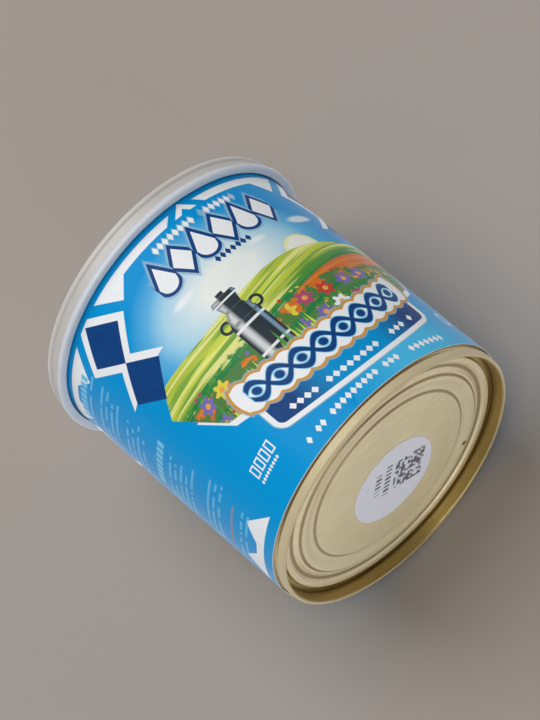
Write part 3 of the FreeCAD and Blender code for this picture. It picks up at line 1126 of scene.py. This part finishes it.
@dataclass(frozen=True)
class TitleRow:
    """A row of white drops and lozenges by turns, outlined in navy inside a grey halo."""

    pitch: float = 6.65
    middle: float = 64.5
    half_length: float = 19.95
    lozenge: tuple[float, float] = (3.1, 4.5)
    drop_radius: float = 2.75
    drop_level: float = -1.75

    def draw(self, painter: Painter, base: Signal, place: Place) -> Signal:
        """Lay the row over the print.

        Args:
            painter: adds the nodes.
            base: the colour under it.
            place: the point.

        Returns:
            The colour. Even cells hold a lozenge, and odd ones a disc joined to a cone.
        """
        cell = (place.across / self.pitch).floor()
        aside = place.across - (cell + 0.5) * self.pitch
        above = place.height - self.middle
        local = painter.vector(aside.size(), above)
        half, reach = self.lozenge
        lozenge = painter.side(local, (half, 0.0), (0.0, reach)).least(
            painter.side(local, (0.0, -reach), (half, 0.0))
        )
        cone = painter.side(local, (2.5, -0.6), (0.0, reach)).least(above + 1.7)
        drop = painter.disc(local, (0.0, self.drop_level), self.drop_radius).most(cone)
        odd = painter.maths("PINGPONG", cell, 1.0)
        shape = painter.maths("MULTIPLY_ADD", drop - lozenge, odd, lozenge)
        shape = shape.least((self.half_length - place.across.size()) * 8.0 + 0.1)
        colour = painter.over(base, LabelInk.GREY_LINE.value, (shape + 1.5).mask(0.5) * 0.85)
        colour = painter.over(colour, LabelInk.NAVY.value, (shape + 0.9).mask())
        return painter.over(colour, LabelInk.WHITE.value, (shape - 0.05).mask())


@dataclass(frozen=True)
class Beads:
    """A row of small lozenges with random gaps."""

    span: tuple[float, float]
    middle: float
    reach: float
    pitch: float
    seed: float
    gap_share: float = 0.14

    def shape(self, painter: Painter, across: Signal, height: Signal) -> Signal:
        """How far a point lies inside the nearest lozenge.

        Args:
            painter: adds the nodes.
            across: the coordinate along the row.
            height: the coordinate across the row.

        Returns:
            A lozenge's half height less the distances from its middle, the one along the row
            in proportion. Only whole cells inside the span are kept.
        """
        cell = (across / self.pitch).floor()
        aside = (across - (cell + 0.5) * self.pitch).size()
        bead = self.reach - aside * (self.reach / (self.pitch * 0.46)) - (height - self.middle).size()
        kept = painter.random(cell, self.seed) - self.gap_share
        first = math.ceil(self.span[0] / self.pitch)
        last = math.floor(self.span[1] / self.pitch) - 1
        row = (last + 0.5 - cell).least(cell - (first - 0.5), kept) * 9.0
        return bead.least(row)


@dataclass(frozen=True)
class SmallRows:
    """Rows of beads over and under the title and at the foot, small panes and a ring."""

    upper: Beads = Beads((-14.0, 14.9), 71.4, 1.25, 1.7, 5.0)
    foot: Beads = Beads((-25.0, 24.0), 6.8, 1.15, 1.75, 17.0)
    small: Beads = Beads((-40.0, -30.2), 11.6, 0.6, 0.95, 23.0)
    under: Beads = Beads((-7.3, 7.7), 57.9, 1.15, 1.65, 41.0)
    pane_pitch: float = 2.5
    pane_half: tuple[float, float] = (0.95, 1.75)
    pane_spot: tuple[float, float] = (-35.0, 14.8)
    ring_spot: tuple[float, float] = (33.8, 14.5)
    ring_radius: float = 2.3
    ring_squeeze: float = 1.45

    def draw(self, painter: Painter, base: Signal, place: Place) -> Signal:
        """Lay the rows and the two marks over the print.

        Args:
            painter: adds the nodes.
            base: the colour under them.
            place: the point.

        Returns:
            The colour. The panes are outlines of oblongs, and the ring is squeezed across.
        """
        across, height = place.across, place.height
        upper = self.upper.shape(painter, across, height)
        foot = self.foot.shape(painter, across, height)
        small = self.small.shape(painter, across, height)
        colour = painter.over(base, LabelInk.GREY_LINE.value, (upper + 0.4).mask(0.5) * 0.8)
        colour = painter.over(colour, LabelInk.WHITE.value, upper.most(foot, small).mask())
        under = self.under.shape(painter, across, height)
        colour = painter.over(colour, LabelInk.NAVY.value, under.mask())
        cell = (across / self.pane_pitch).floor()
        aside = (across - (cell + 0.5) * self.pane_pitch).size()
        middle, level = self.pane_spot
        panes = (self.pane_half[0] - aside).least(self.pane_half[1] - (height - level).size())
        outline = panes.least(0.42 - panes, 5.0 - (across - middle).size())
        ring_point = painter.stretched(place.flat, (self.ring_squeeze, 1.0, 1.0))
        spot = (self.ring_spot[0] * self.ring_squeeze, self.ring_spot[1])
        ring = 0.35 - painter.disc(ring_point, spot, self.ring_radius).size()
        return painter.over(colour, LabelInk.WHITE.value, outline.most(ring).mask())


@dataclass(frozen=True)
class SmallPrint:
    """The side panel: lines of plain dashes, under two headings, and a row of dots."""

    left: float = -11.2
    right: float = 10.6
    leading: float = 1.95
    line_half: float = 0.36
    letter: float = 1.05
    heading_pitch: float = 2.1
    heading_heights: tuple[float, float] = (71.8, 43.8)
    dot_pitch: float = 1.35
    dot_height: float = 17.9

    def draw(self, painter: Painter, base: Signal, across: Signal, height: Signal) -> Signal:
        """Lay the panel over the print.

        Args:
            painter: adds the nodes.
            base: the colour under it.
            across: the distance round the can from the panel's middle.
            height: the height along the can.

        Returns:
            The colour. Random numbers end each line, leave out lines, and part the words.
        """
        line = (height / self.leading).floor()
        level = (height - (line + 0.5) * self.leading).size()
        length = self.right - painter.random(line, 2.0) * 7.0
        cell = (across / self.letter).floor()
        inside = self.letter * 0.47 - (across - (cell + 0.5) * self.letter).size()
        word = (painter.random(cell, line) - 0.17) * 6.0
        blank = (painter.random(line, 9.0) - 0.14) * 6.0
        dash = (self.line_half - level).least(
            length - across, across - self.left, inside.most(word - 1.2), word, blank
        )
        upper_heading, lower_heading = self.heading_heights
        between = (height - (lower_heading + 1.6)).size() - 3.0
        body = dash.least(70.0 - height, height - 22.0, between)
        low = dash.least(16.0 - height, height - 12.0)
        heading_cell = (across / self.heading_pitch).floor()
        bar = 0.8 - (across - (heading_cell + 0.5) * self.heading_pitch).size()
        heading = (1.15 - (height - upper_heading).size()).most(
            1.15 - (height - lower_heading).size()
        )
        heading = heading.least(bar, 8.4 - across.size())
        colour = painter.over(base, LabelInk.SKY.value, body.most(low).mask() * 0.7)
        colour = painter.over(colour, LabelInk.SKY.value, heading.mask())
        dot_cell = (across / self.dot_pitch).floor()
        dots = painter.vector(across - (dot_cell + 0.5) * self.dot_pitch, height)
        dot = painter.disc(dots, (0.0, self.dot_height), 0.42).least(7.4 - across.size())
        return painter.over(colour, LabelInk.BROWN.value, dot.mask())


@dataclass(frozen=True)
class Arch:
    """The bare plaque and the navy banner under it: both sag with the square of across."""

    arch: float = 0.0075
    banner_end: float = 26.6
    banner_foot: float = 8.9
    banner_top: float = 24.0
    banner_round: float = 3.0
    banner_beads: Beads = Beads((-21.0, 21.0), 12.7, 1.1, 2.1, 77.0)
    plaque_end: float = 29.6
    plaque_half: float = 5.2
    plaque_middle: float = 21.8
    twist_period: float = 13.0
    twist_half: float = 25.0
    twist_reach: float = 2.7
    rope_half: float = 0.85

    def banner(self, painter: Painter, base: Signal, place: Place) -> Signal:
        """Lay the banner over the print.

        Args:
            painter: adds the nodes.
            base: the colour under it.
            place: the point.

        Returns:
            The colour. A corner is round where the point is near both its end and its foot.
        """
        across, height = place.across, place.height
        sag = across * across * self.arch
        foot = height - self.banner_foot - sag
        end = self.banner_end - across.size()
        rounding = self.banner_round
        gaps = painter.vector((rounding - foot).most(0.0), (rounding - end).most(0.0), 0.0)
        length = painter.node("ShaderNodeVectorMath", {"operation": "LENGTH"}, {0: gaps})
        corner = rounding - painter.out(length, "Value")
        shape = foot.least(end, corner, self.banner_top - height + sag)
        colour = painter.over(base, LabelInk.GREY_LINE.value, (shape + 0.3).mask())
        colour = painter.over(colour, LabelInk.WHITE.value, shape.mask())
        middle = (13.0 - across.size()).mask(11.0)
        fill = painter.over(LabelInk.NAVY.value, LabelInk.MIDDLE_BLUE.value, middle)
        colour = painter.over(colour, fill, (shape - 1.4).mask())
        beads = self.banner_beads.shape(painter, across, height - sag)
        return painter.over(colour, LabelInk.WHITE.value, beads.mask())

    def plaque(self, painter: Painter, base: Signal, place: Place) -> Signal:
        """Lay the plaque over the print.

        Args:
            painter: adds the nodes.
            base: the colour under it.
            place: the point.

        Returns:
            The colour: white with a scalloped gold edge, and a twist of two navy waves, each
            the other's mirror image, with a bead in every loop.
        """
        across = place.across
        level = place.height - self.plaque_middle - across * across * self.arch
        scallop = across.wave(8.6, 1.2).size() * 0.9
        side = self.plaque_half - level.size() + scallop - 0.5
        end = self.plaque_end - across.size() - level * level * 0.06
        shape = side.least(end)
        colour = painter.over(base, LabelInk.GREY_LINE.value, (shape + 0.35).mask() * 0.7)
        colour = painter.over(colour, LabelInk.GOLD_LINE.value, shape.mask())
        colour = painter.over(colour, LabelInk.WHITE.value, (shape - 0.9).mask())
        swing = across.wave(self.twist_period) * self.twist_reach
        one = self.rope_half - (level - swing).size()
        other = self.rope_half - (level + swing).size()
        loop = self.twist_period / 2.0
        cell = (across / loop).floor()
        local = painter.vector(across - (cell + 0.5) * loop, level)
        bead = painter.disc(local, (0.0, 0.0), 1.15)
        rope = one.most(other, bead).least(self.twist_half - across.size())
        colour = painter.over(colour, LabelInk.SKY.value, (rope + 0.3).mask())
        return painter.over(colour, LabelInk.NAVY.value, rope.mask())


@dataclass(frozen=True)
class LabelPrint:
    """The label's printed design, in millimetres on the label's own UV map.

    The print repeats twice round the can, and its bands, diamonds and plaque are symmetric
    about the middle of the front panel.
    """

    front: float = 17.8
    coat: float = 0.55

    def material(self, period: float) -> bpy.types.Material:
        """The finish of the label.

        Args:
            period: half of the label's length round the can.

        Returns:
            Coated paper that carries every layer of the print, from the ground up, and is
            bare and matt along its cut edges.
        """
        painter = Painter("label_print")
        uv_map = painter.out(painter.node("ShaderNodeUVMap", {"uv_map": PaperLabel.UV_NAME}))
        round_can, height, _ = painter.split(uv_map)
        half = period / 2.0
        across = painter.maths("WRAP", round_can - self.front, half, -half)
        side_across = painter.maths("WRAP", round_can - (self.front + half), half, -half)
        place = Place(across, height, painter.vector(across, height),
                      painter.vector(across.size(), height))
        colour = self._front(painter, place)
        colour = SmallPrint().draw(painter, colour, side_across, height)
        colour = Arch().banner(painter, colour, place)
        colour = Arch().plaque(painter, colour, place)
        attribute = {"attribute_name": PaperLabel.EDGE_NAME}
        edge = painter.out(painter.node("ShaderNodeAttribute", attribute), "Fac")
        bare = (edge - 0.45).mask(0.3)
        paper = painter.vector(round_can, height, 0.0)
        mottle = painter.noise(paper, 0.35, 3.0)
        colour = painter.over(colour, LabelInk.GROUND_DEEP.value, (mottle - 0.55).mask(0.5) * 0.06)
        colour = painter.over(colour, LabelInk.WHITE.value, bare)
        peel = painter.noise(paper, 1.3, 3.0)
        return painter.surface({
            "Base Color": colour, "Roughness": 0.4 + mottle * 0.1 + bare * 0.3,
            "Specular IOR Level": 0.05, "Coat Weight": self.coat - bare * self.coat,
            "Coat Roughness": 0.2, "Coat IOR": 1.16,
            "Normal": painter.bump(peel, 0.012),
        })

    @staticmethod
    def _front(painter: Painter, place: Place) -> Signal:
        """The layers of the front panel up to the small rows, from the ground up.

        Args:
            painter: adds the nodes.
            place: the point.

        Returns:
            The colour.
        """
        colour = Sky().draw(painter, place)
        colour, land = Fields().draw(painter, colour, place)
        colour = Churn().draw(painter, colour, place.flat)
        meadow, borders = Meadow(), Borders()
        colour = meadow.grass(painter, colour, place, land)
        colour = meadow.blossoms(painter, colour, place, land)
        colour = borders.bands(painter, colour, place)
        colour = borders.diamonds(painter, colour, place)
        colour = TitleRow().draw(painter, colour, place)
        return SmallRows().draw(painter, colour, place)


# --- the can's pieces ------------------------------------------------------------------


@dataclass
class TinBody:
    """The filled tin: its wall, the neck at the metal end, and the seam under the cap."""

    can: Can
    axis: Axis
    neck_depth: float = 1.05
    neck_straight: float = 0.6
    neck_slope: float = 1.8

    def build(self) -> bpy.types.Object:
        """Turn the tin from its back plane, over the wall and the upper seam, to its top."""
        can = self.can
        neck = can.wall - self.neck_depth
        inside = can.seam_inside - can.plug_gap
        back = can.sink_depth + can.end_plate
        low, high = can.seam_height, can.height - can.seam_height
        outline = rounded_outline([
            (0.0, back), (inside, back), (inside, low + can.plug_gap), (neck, low + can.plug_gap),
            (neck, low + self.neck_straight, 0.3),
            (can.wall, low + self.neck_straight + self.neck_slope, 0.6),
            (can.wall, high - self.neck_straight - self.neck_slope, 0.6),
            (neck, high - self.neck_straight, 0.3),
            (neck, high), (can.seam, high, can.seam_hook), (can.seam, can.height, can.seam_crown),
            (can.seam_inside, can.height, can.seam_crown),
            (can.wall_foot, can.height - can.sink_depth), (0.0, can.height - can.sink_depth),
        ], longest=6.0)
        return turned("tin_body", self.axis, outline, around=240)


@dataclass
class MetalEnd:
    """The metal end: seam, wall, countersink, ring groove and the steps of its panel."""

    can: Can
    axis: Axis
    panel_depth: float = 3.05
    step_rise: float = 0.4
    sink_width: float = 1.55
    groove_inset: float = 2.9
    groove_width: float = 2.6
    groove_depth: float = 0.6
    outer_inset: float = 5.1
    slope_inset: float = 7.4
    slope_width: float = 1.8
    inner_inset: float = 9.9
    step_width: float = 0.5
    step_round: float = 0.1
    pool_radius: float = 20.6
    pool_depth: float = 0.06
    sway: float = 0.03

    def build(self) -> bpy.types.Object:
        """Turn the end from the panel's middle to its back, with a slight sway in the sheet."""
        can = self.can
        panel = can.wall_foot - self.sink_width
        deep, shallow = self.panel_depth, self.panel_depth - self.step_rise
        pool = shallow + self.pool_depth
        plug, back = can.seam_inside - can.plug_gap, can.sink_depth + can.end_plate
        half = self.step_width / 2.0
        inner, outer = panel - self.inner_inset, panel - self.outer_inset
        slope, groove = panel - self.slope_inset, panel - self.groove_inset
        slope_half, groove_half = self.slope_width / 2.0, self.groove_width / 2.0
        outline = rounded_outline([
            (0.0, shallow), (self.pool_radius - 0.4, shallow, 1.0), (self.pool_radius + 0.4, pool, 1.0),
            (inner - half, pool, self.step_round), (inner + half, deep, self.step_round),
            (slope - slope_half, deep, 0.8), (slope + slope_half, shallow, 0.8),
            (outer - half, shallow, self.step_round), (outer + half, deep, self.step_round),
            (groove - groove_half, deep, 0.5), (groove, deep + 1.6 * self.groove_depth, 1.4),
            (groove + groove_half, deep, 0.5),
            (panel, deep, 0.4), (panel, can.sink_depth, 0.3),
            (can.wall_foot, can.sink_depth, 0.3), (can.seam_inside, 0.0, can.seam_crown),
            (can.seam, 0.0, can.seam_crown), (can.seam, can.seam_height, can.seam_hook),
            (plug, can.seam_height), (plug, back), (0.0, back),
        ], longest=1.6)
        return turned("metal_end", self.axis, outline, around=400, shape=self._sway)

    def _sway(self, radii: np.ndarray, heights: np.ndarray,
              angles: np.ndarray) -> tuple[np.ndarray, np.ndarray]:
        """Let the panel sway: a twofold wave that grows with the square of the radius."""
        share = np.clip(radii / self.can.wall_foot, 0.0, 1.0) ** 2 * (radii < self.can.wall_foot)
        return radii, heights + self.sway * share * np.sin(2.0 * angles + 0.7)


@dataclass
class PaperLabel:
    """One sheet of paper round the tin, whose ends overlap in a glued lap."""

    UV_NAME = "label_mm"
    EDGE_NAME = "cut_edge"

    can: Can
    axis: Axis
    lap: float = 8.0
    lap_turn: float = math.radians(140.0)
    ramp: float = 2.5
    lower_rise: float = 0.7
    margin: float = 0.14
    around: int = 420
    along: int = 84
    crease_spot: tuple[float, float] = (9.0, 5.2)
    crease_depth: float = 0.16

    def build(self) -> bpy.types.Object:
        """Wrap the sheet.

        Returns:
            The label. A point of the sheet is an arc round the can and a height: its angle is
            the arc over the label's radius, and its height goes evenly from the lower edge to
            the upper one, with one more row of points close to each edge. The outer face
            steps out by the paper's thickness where it climbs onto the lap.
        """
        radius = self.can.label
        half_lap = self.lap / 2.0 / radius
        first = self.lap_turn - FULL_TURN - half_lap
        last = self.lap_turn + half_lap
        angles = np.linspace(first, last, self.around)
        bottom = self.can.label_bottom + self.lower_rise * np.sin(angles) ** 2
        bottom += 0.05 * np.sin(11.0 * angles) * np.sin(angles) ** 2
        top = np.full_like(angles, self.can.height - self.can.label_drop)
        length = float(top[0] - self.can.label_bottom)
        holds = np.array([0.0, self.margin, 2.0 * self.margin]) / length
        inset = 3.0 * self.margin / length
        rows = np.linspace(inset, 1.0 - inset, self.along)
        shares = np.concatenate([holds, rows, 1.0 - holds[::-1]])
        heights = bottom + (top - bottom) * shares[:, None]
        arcs = np.broadcast_to(angles * radius, heights.shape)
        climb = np.clip((angles - (last - 2.0 * half_lap)) * radius / self.ramp + 1.0, 0.0, 1.0)
        lift = self.can.paper * climb * climb * (3.0 - 2.0 * climb)
        outer = radius + lift - self._crease(arcs, heights)
        sheets = [self._surface(angles, reach, heights) for reach in (outer, outer - self.can.paper)]
        return self._shell(sheets, arcs, heights)

    def _crease(self, arcs: np.ndarray, heights: np.ndarray) -> np.ndarray:
        """A small dent: a bell of the distances from its spot along and round the can."""
        arc, height = self.crease_spot
        slant = (arcs - arc) - 0.5 * (heights - height)
        bell = np.exp(-((slant / 0.9) ** 2) - ((heights - height) / 1.6) ** 2)
        return self.crease_depth * bell

    def _surface(self, angles: np.ndarray, radii: np.ndarray, heights: np.ndarray) -> np.ndarray:
        """The points of one face of the sheet, in metres."""
        return self.axis.place(radii * np.sin(angles), radii * np.cos(angles), heights)

    def _shell(self, sheets: list[np.ndarray], arcs: np.ndarray,
               heights: np.ndarray) -> bpy.types.Object:
        """Close the two faces of the sheet along its four edges, and map it in millimetres.

        Args:
            sheets: the points of the outer and of the inner face.
            arcs: the coordinate round the can of each point of a face, in millimetres.
            heights: the coordinate along the can of each.

        Returns:
            The sheet, with a UV map and with an attribute that is one on its bare paper.
        """
        rows, columns = arcs.shape
        count = rows * columns
        outer = grid_faces(rows, columns, wrap=False)
        inner = grid_faces(rows, columns, wrap=False, start=count)[:, ::-1]
        number = np.arange(count).reshape(rows, columns)
        border = np.concatenate([
            number[0], number[1:, -1], number[-1, -2::-1], number[-2:0:-1, 0],
        ])
        ahead = np.roll(border, -1)
        edge = np.stack([ahead, border, border + count, ahead + count], axis=-1)
        faces = np.concatenate([outer, inner, edge]).tolist()
        points = np.concatenate([sheet.reshape(-1, 3) for sheet in sheets])
        piece = new_object("paper_wrap", points, [tuple(face) for face in faces])
        mesh = piece.data
        corner = np.empty(len(mesh.loops), dtype=np.int64)
        mesh.loops.foreach_get("vertex_index", corner)
        place = np.tile(np.stack([arcs.ravel(), heights.ravel()], axis=-1), (2, 1))
        mesh.uv_layers.new(name=self.UV_NAME).data.foreach_set("uv", place[corner].ravel())
        cut = np.zeros((rows, columns))
        cut[[0, -1]] = 1.0
        shares = np.concatenate([cut.ravel(), np.ones(count)])
        mesh.attributes.new(self.EDGE_NAME, "FLOAT", "POINT").data.foreach_set("value", shares)
        return piece


@dataclass
class DateSticker:
    """A round paper sticker on the middle of the metal end."""

    axis: Axis
    face: float
    thickness: float = 0.1
    edge_round: float = 0.04

    def build(self) -> bpy.types.Object:
        """Turn the sticker about its own middle, which its packed box gives."""
        low, high = (np.array(corner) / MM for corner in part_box("date_sticker"))
        radius = half_width("date_sticker")
        middle = (low + high) / 2.0
        cosine, sine = math.cos(self.axis.tilt), math.sin(self.axis.tilt)
        above = (middle[2] - self.axis.rise) * cosine - (middle[1] - self.axis.middle) * sine
        front, back = self.face - self.thickness, self.face
        outline = rounded_outline([
            (0.0, front), (radius, front, self.edge_round), (radius, back, self.edge_round),
            (0.0, back),
        ], longest=1.5)
        return turned("round_sticker", self.axis, outline, around=160,
                      centre=(float(middle[0]), float(above)))


@dataclass
class Overcap:
    """The plastic overcap: dished plate, raised rim, hollow waist and a lip off the label."""

    can: Can
    axis: Axis
    grip_gap: float = 0.3
    rim_wall: float = 1.7
    rim_round: float = 0.9
    rim_width: float = 4.6
    dish: float = 2.0
    dish_run: float = 1.2
    waist_wall: float = 1.25
    waist_top: float = 1.9
    waist_bottom: float = 3.9
    mouth_gap: float = 0.38
    lip_height: float = 1.3
    grip_rise: float = 0.8
    gate_radius: float = 1.1
    gate_height: float = 0.35
    wander: float = 0.06

    def build(self) -> bpy.types.Object:
        """Turn the cap from the dish's middle, over rim, waist and lip, and back inside."""
        can = self.can
        grip = can.seam + self.grip_gap
        rim, waist = grip + self.rim_wall, grip + self.waist_wall
        mouth = can.label + self.mouth_gap
        bottom, top = can.lip_bottom, can.cap_top
        lip_top = bottom + self.lip_height
        rim_inside = rim - self.rim_width
        floor = top - self.dish
        outline = rounded_outline([
            (0.0, floor + self.gate_height), (self.gate_radius, floor + self.gate_height, 0.15),
            (self.gate_radius + 0.3, floor, 0.2),
            (rim_inside - self.dish_run, floor, 0.8), (rim_inside, top, 0.9),
            (rim, top, self.rim_round), (rim, top - 1.35, 0.35),
            (waist, top - self.waist_top, 0.6), (waist, top - self.waist_bottom, 0.7),
            (can.lip - 0.35, lip_top, 0.3), (can.lip, lip_top - 0.35, 0.25),
            (can.lip, bottom, can.lip_round), (mouth, bottom, 0.15), (mouth, lip_top, 0.2),
            (grip, lip_top + self.grip_rise, 0.2), (grip, can.height, 0.3),
            (rim_inside + 0.5, can.height, 0.3),
            (rim_inside - self.dish_run + 0.5, floor - can.cap_plate, 0.5),
            (0.0, floor - can.cap_plate),
        ], longest=1.5)
        return turned("cap_shell", self.axis, outline, around=400, shape=self._wander)

    def _wander(self, radii: np.ndarray, heights: np.ndarray,
                angles: np.ndarray) -> tuple[np.ndarray, np.ndarray]:
        """Let the soft lip wander: slow waves in its radius and height, fading up the wall."""
        limp = np.clip((self.can.cap_top - 2.0 - heights) / 4.0, 0.0, 1.0) * (radii > self.can.seam)
        out = self.wander * (np.sin(3.0 * angles + 0.6) + 0.5 * np.sin(8.0 * angles)) / 1.5
        low = self.wander * (np.sin(5.0 * angles + 2.0) + 0.6 * np.sin(17.0 * angles)) / 1.6
        return radii + limp * (out - self.wander), heights + limp * (low + self.wander)


# --- the studio ------------------------------------------------------------------------


@dataclass(frozen=True)
class SoftBox:
    """A square lamp that hangs at a distance from the can and faces it."""

    name: str
    azimuth: float
    elevation: float
    distance: float
    width: float
    watts: float
    tint: Colour = (1.0, 1.0, 1.0)

    def hang(self, target: Vector) -> None:
        """Hang the lamp on a sphere round the target and turn its face to it.

        Args:
            target: the middle of the sphere.
        """
        lamp = bpy.data.lights.new(self.name, "AREA")
        lamp.shape = "SQUARE"
        lamp.size = self.width
        lamp.energy = self.watts
        lamp.color = self.tint
        turn, climb = math.radians(self.azimuth), math.radians(self.elevation)
        away = Vector((math.cos(climb) * math.sin(turn), math.cos(climb) * math.cos(turn),
                       math.sin(climb)))
        holder = bpy.data.objects.new(self.name, lamp)
        holder.location = target + away * self.distance
        holder.rotation_euler = away.to_track_quat("Z", "Y").to_euler()
        bpy.context.scene.collection.objects.link(holder)


@dataclass
class Studio:
    """The floor, the lamps, the sky and the camera."""

    axis: Axis
    floor_tint: Colour = ink(164, 156, 149)
    table_tint: Colour = (0.84, 0.85, 0.88)
    sky_tint: Colour = (1.0, 0.985, 0.96)
    sky_level: float = 0.24
    glossy_level: float = 0.14
    floor_width: float = 6.0
    aim_aside: float = 2.78
    aim_along: float = 47.8
    camera_distance: float = 905.85
    camera_elevation: float = 60.784
    camera_swing: float = 0.36
    camera_roll: float = 49.7
    lens: float = 121.28
    sensor: float = 24.0

    def build(self) -> None:
        """Set the floor, light the can and point the camera at it."""
        self._floor()
        self._sky()
        target = self.axis.point(0.0, 0.0, self.aim_along)
        lamps = [
            SoftBox("key", -6.0, 62.0, 1.6, 1.5, 20.0),
            SoftBox("front", 187.0, 68.0, 1.6, 0.4, 2.6),
            SoftBox("fill", 198.0, 18.0, 1.8, 1.2, 7.5),
        ]
        for lamp in lamps:
            lamp.hang(target)
        self._camera()

    def _floor(self) -> None:
        """A wide plain floor that the can rests on, which reflects onto the can as white."""
        half = self.floor_width / 2.0
        mesh = bpy.data.meshes.new("floor")
        corners = [(-half, -half, 0.0), (half, -half, 0.0), (half, half, 0.0), (-half, half, 0.0)]
        mesh.from_pydata(corners, [], [(0, 1, 2, 3)])
        floor = bpy.data.objects.new("floor", mesh)
        bpy.context.scene.collection.objects.link(floor)
        painter = Painter("floor_paint")
        seen = painter.out(painter.node("ShaderNodeLightPath"), "Is Camera Ray")
        mesh.materials.append(painter.surface({
            "Base Color": painter.over(self.table_tint, self.floor_tint, seen),
            "Roughness": 0.75, "Specular IOR Level": 0.2,
        }))

    def _sky(self) -> None:
        """An even pale sky, dimmer in reflections, in the floor's colour where it is seen."""
        world = bpy.data.worlds.new("studio_sky")
        bpy.context.scene.world = world
        world.use_nodes = True
        nodes, links = world.node_tree.nodes, world.node_tree.links
        nodes.clear()
        light = nodes.new("ShaderNodeBackground")
        light.inputs["Color"].default_value = (*self.sky_tint, 1.0)
        seen = nodes.new("ShaderNodeBackground")
        seen.inputs["Color"].default_value = (*self.floor_tint, 1.0)
        path = nodes.new("ShaderNodeLightPath")
        level = nodes.new("ShaderNodeMapRange")
        level.inputs["To Min"].default_value = self.sky_level
        level.inputs["To Max"].default_value = self.glossy_level
        links.new(path.outputs["Is Glossy Ray"], level.inputs["Value"])
        links.new(level.outputs["Result"], light.inputs["Strength"])
        mix = nodes.new("ShaderNodeMixShader")
        output = nodes.new("ShaderNodeOutputWorld")
        links.new(path.outputs["Is Camera Ray"], mix.inputs[0])
        links.new(light.outputs[0], mix.inputs[1])
        links.new(seen.outputs[0], mix.inputs[2])
        links.new(mix.outputs[0], output.inputs["Surface"])

    def _camera(self) -> None:
        """A long lens that looks down on the can, rolled to the side."""
        camera = bpy.data.cameras.new("camera")
        camera.sensor_fit = "VERTICAL"
        camera.sensor_height = self.sensor
        camera.lens = self.lens
        camera.clip_end = 20.0
        climb, swing = math.radians(self.camera_elevation), math.radians(self.camera_swing)
        look = Vector((math.cos(climb) * math.sin(swing), math.cos(climb) * math.cos(swing),
                       -math.sin(climb)))
        right = look.cross(Vector((0.0, 0.0, 1.0))).normalized()
        upright = right.cross(look)
        roll = math.radians(self.camera_roll)
        up = upright * math.cos(roll) + right * math.sin(roll)
        turn = Matrix((look.cross(up), up, -look)).transposed()
        aim = self.axis.point(self.aim_aside, 0.0, self.aim_along)
        holder = bpy.data.objects.new("camera", camera)
        place = Matrix.Translation(aim - look * (self.camera_distance * MM))
        holder.matrix_world = place @ turn.to_4x4()
        bpy.context.scene.collection.objects.link(holder)
        bpy.context.scene.camera = holder


# --- putting it together ---------------------------------------------------------------


def dress(piece: bpy.types.Object, material: bpy.types.Material, node: str) -> None:
    """Give a piece its finish and let it stand for a CAD node.

    Args:
        piece: the piece.
        material: its finish.
        node: the CAD node that it replaces.
    """
    piece.data.materials.append(material)
    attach(piece, "root")
    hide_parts(node)
    LOG.info("%s: %d faces, for %s", piece.name, len(piece.data.polygons), node)


def main() -> None:
    """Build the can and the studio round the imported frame."""
    logging.basicConfig(level=logging.INFO, format="%(name)s: %(message)s")
    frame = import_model()
    LOG.info("frame has %d nodes", len(frame["nodes"]))
    bpy.context.scene.view_settings.view_transform = "Standard"
    can = Can.from_frame()
    axis = Axis.from_frame(can)
    gold = GoldLacquer().material(axis)
    label = PaperLabel(can, axis)
    metal_end = MetalEnd(can, axis)
    sticker = DateSticker(axis, metal_end.panel_depth - metal_end.step_rise)
    dress(TinBody(can, axis).build(), gold, "can_body")
    dress(metal_end.build(), gold, "bottom_end")
    dress(label.build(), LabelPrint().material(math.pi * can.label), "paper_label")
    dress(sticker.build(), StickerPaper().material(axis), "date_sticker")
    dress(Overcap(can, axis).build(), MilkyPlastic().material(axis), "overcap")
    Studio(axis).build()


if __name__ == "__main__":
    main()
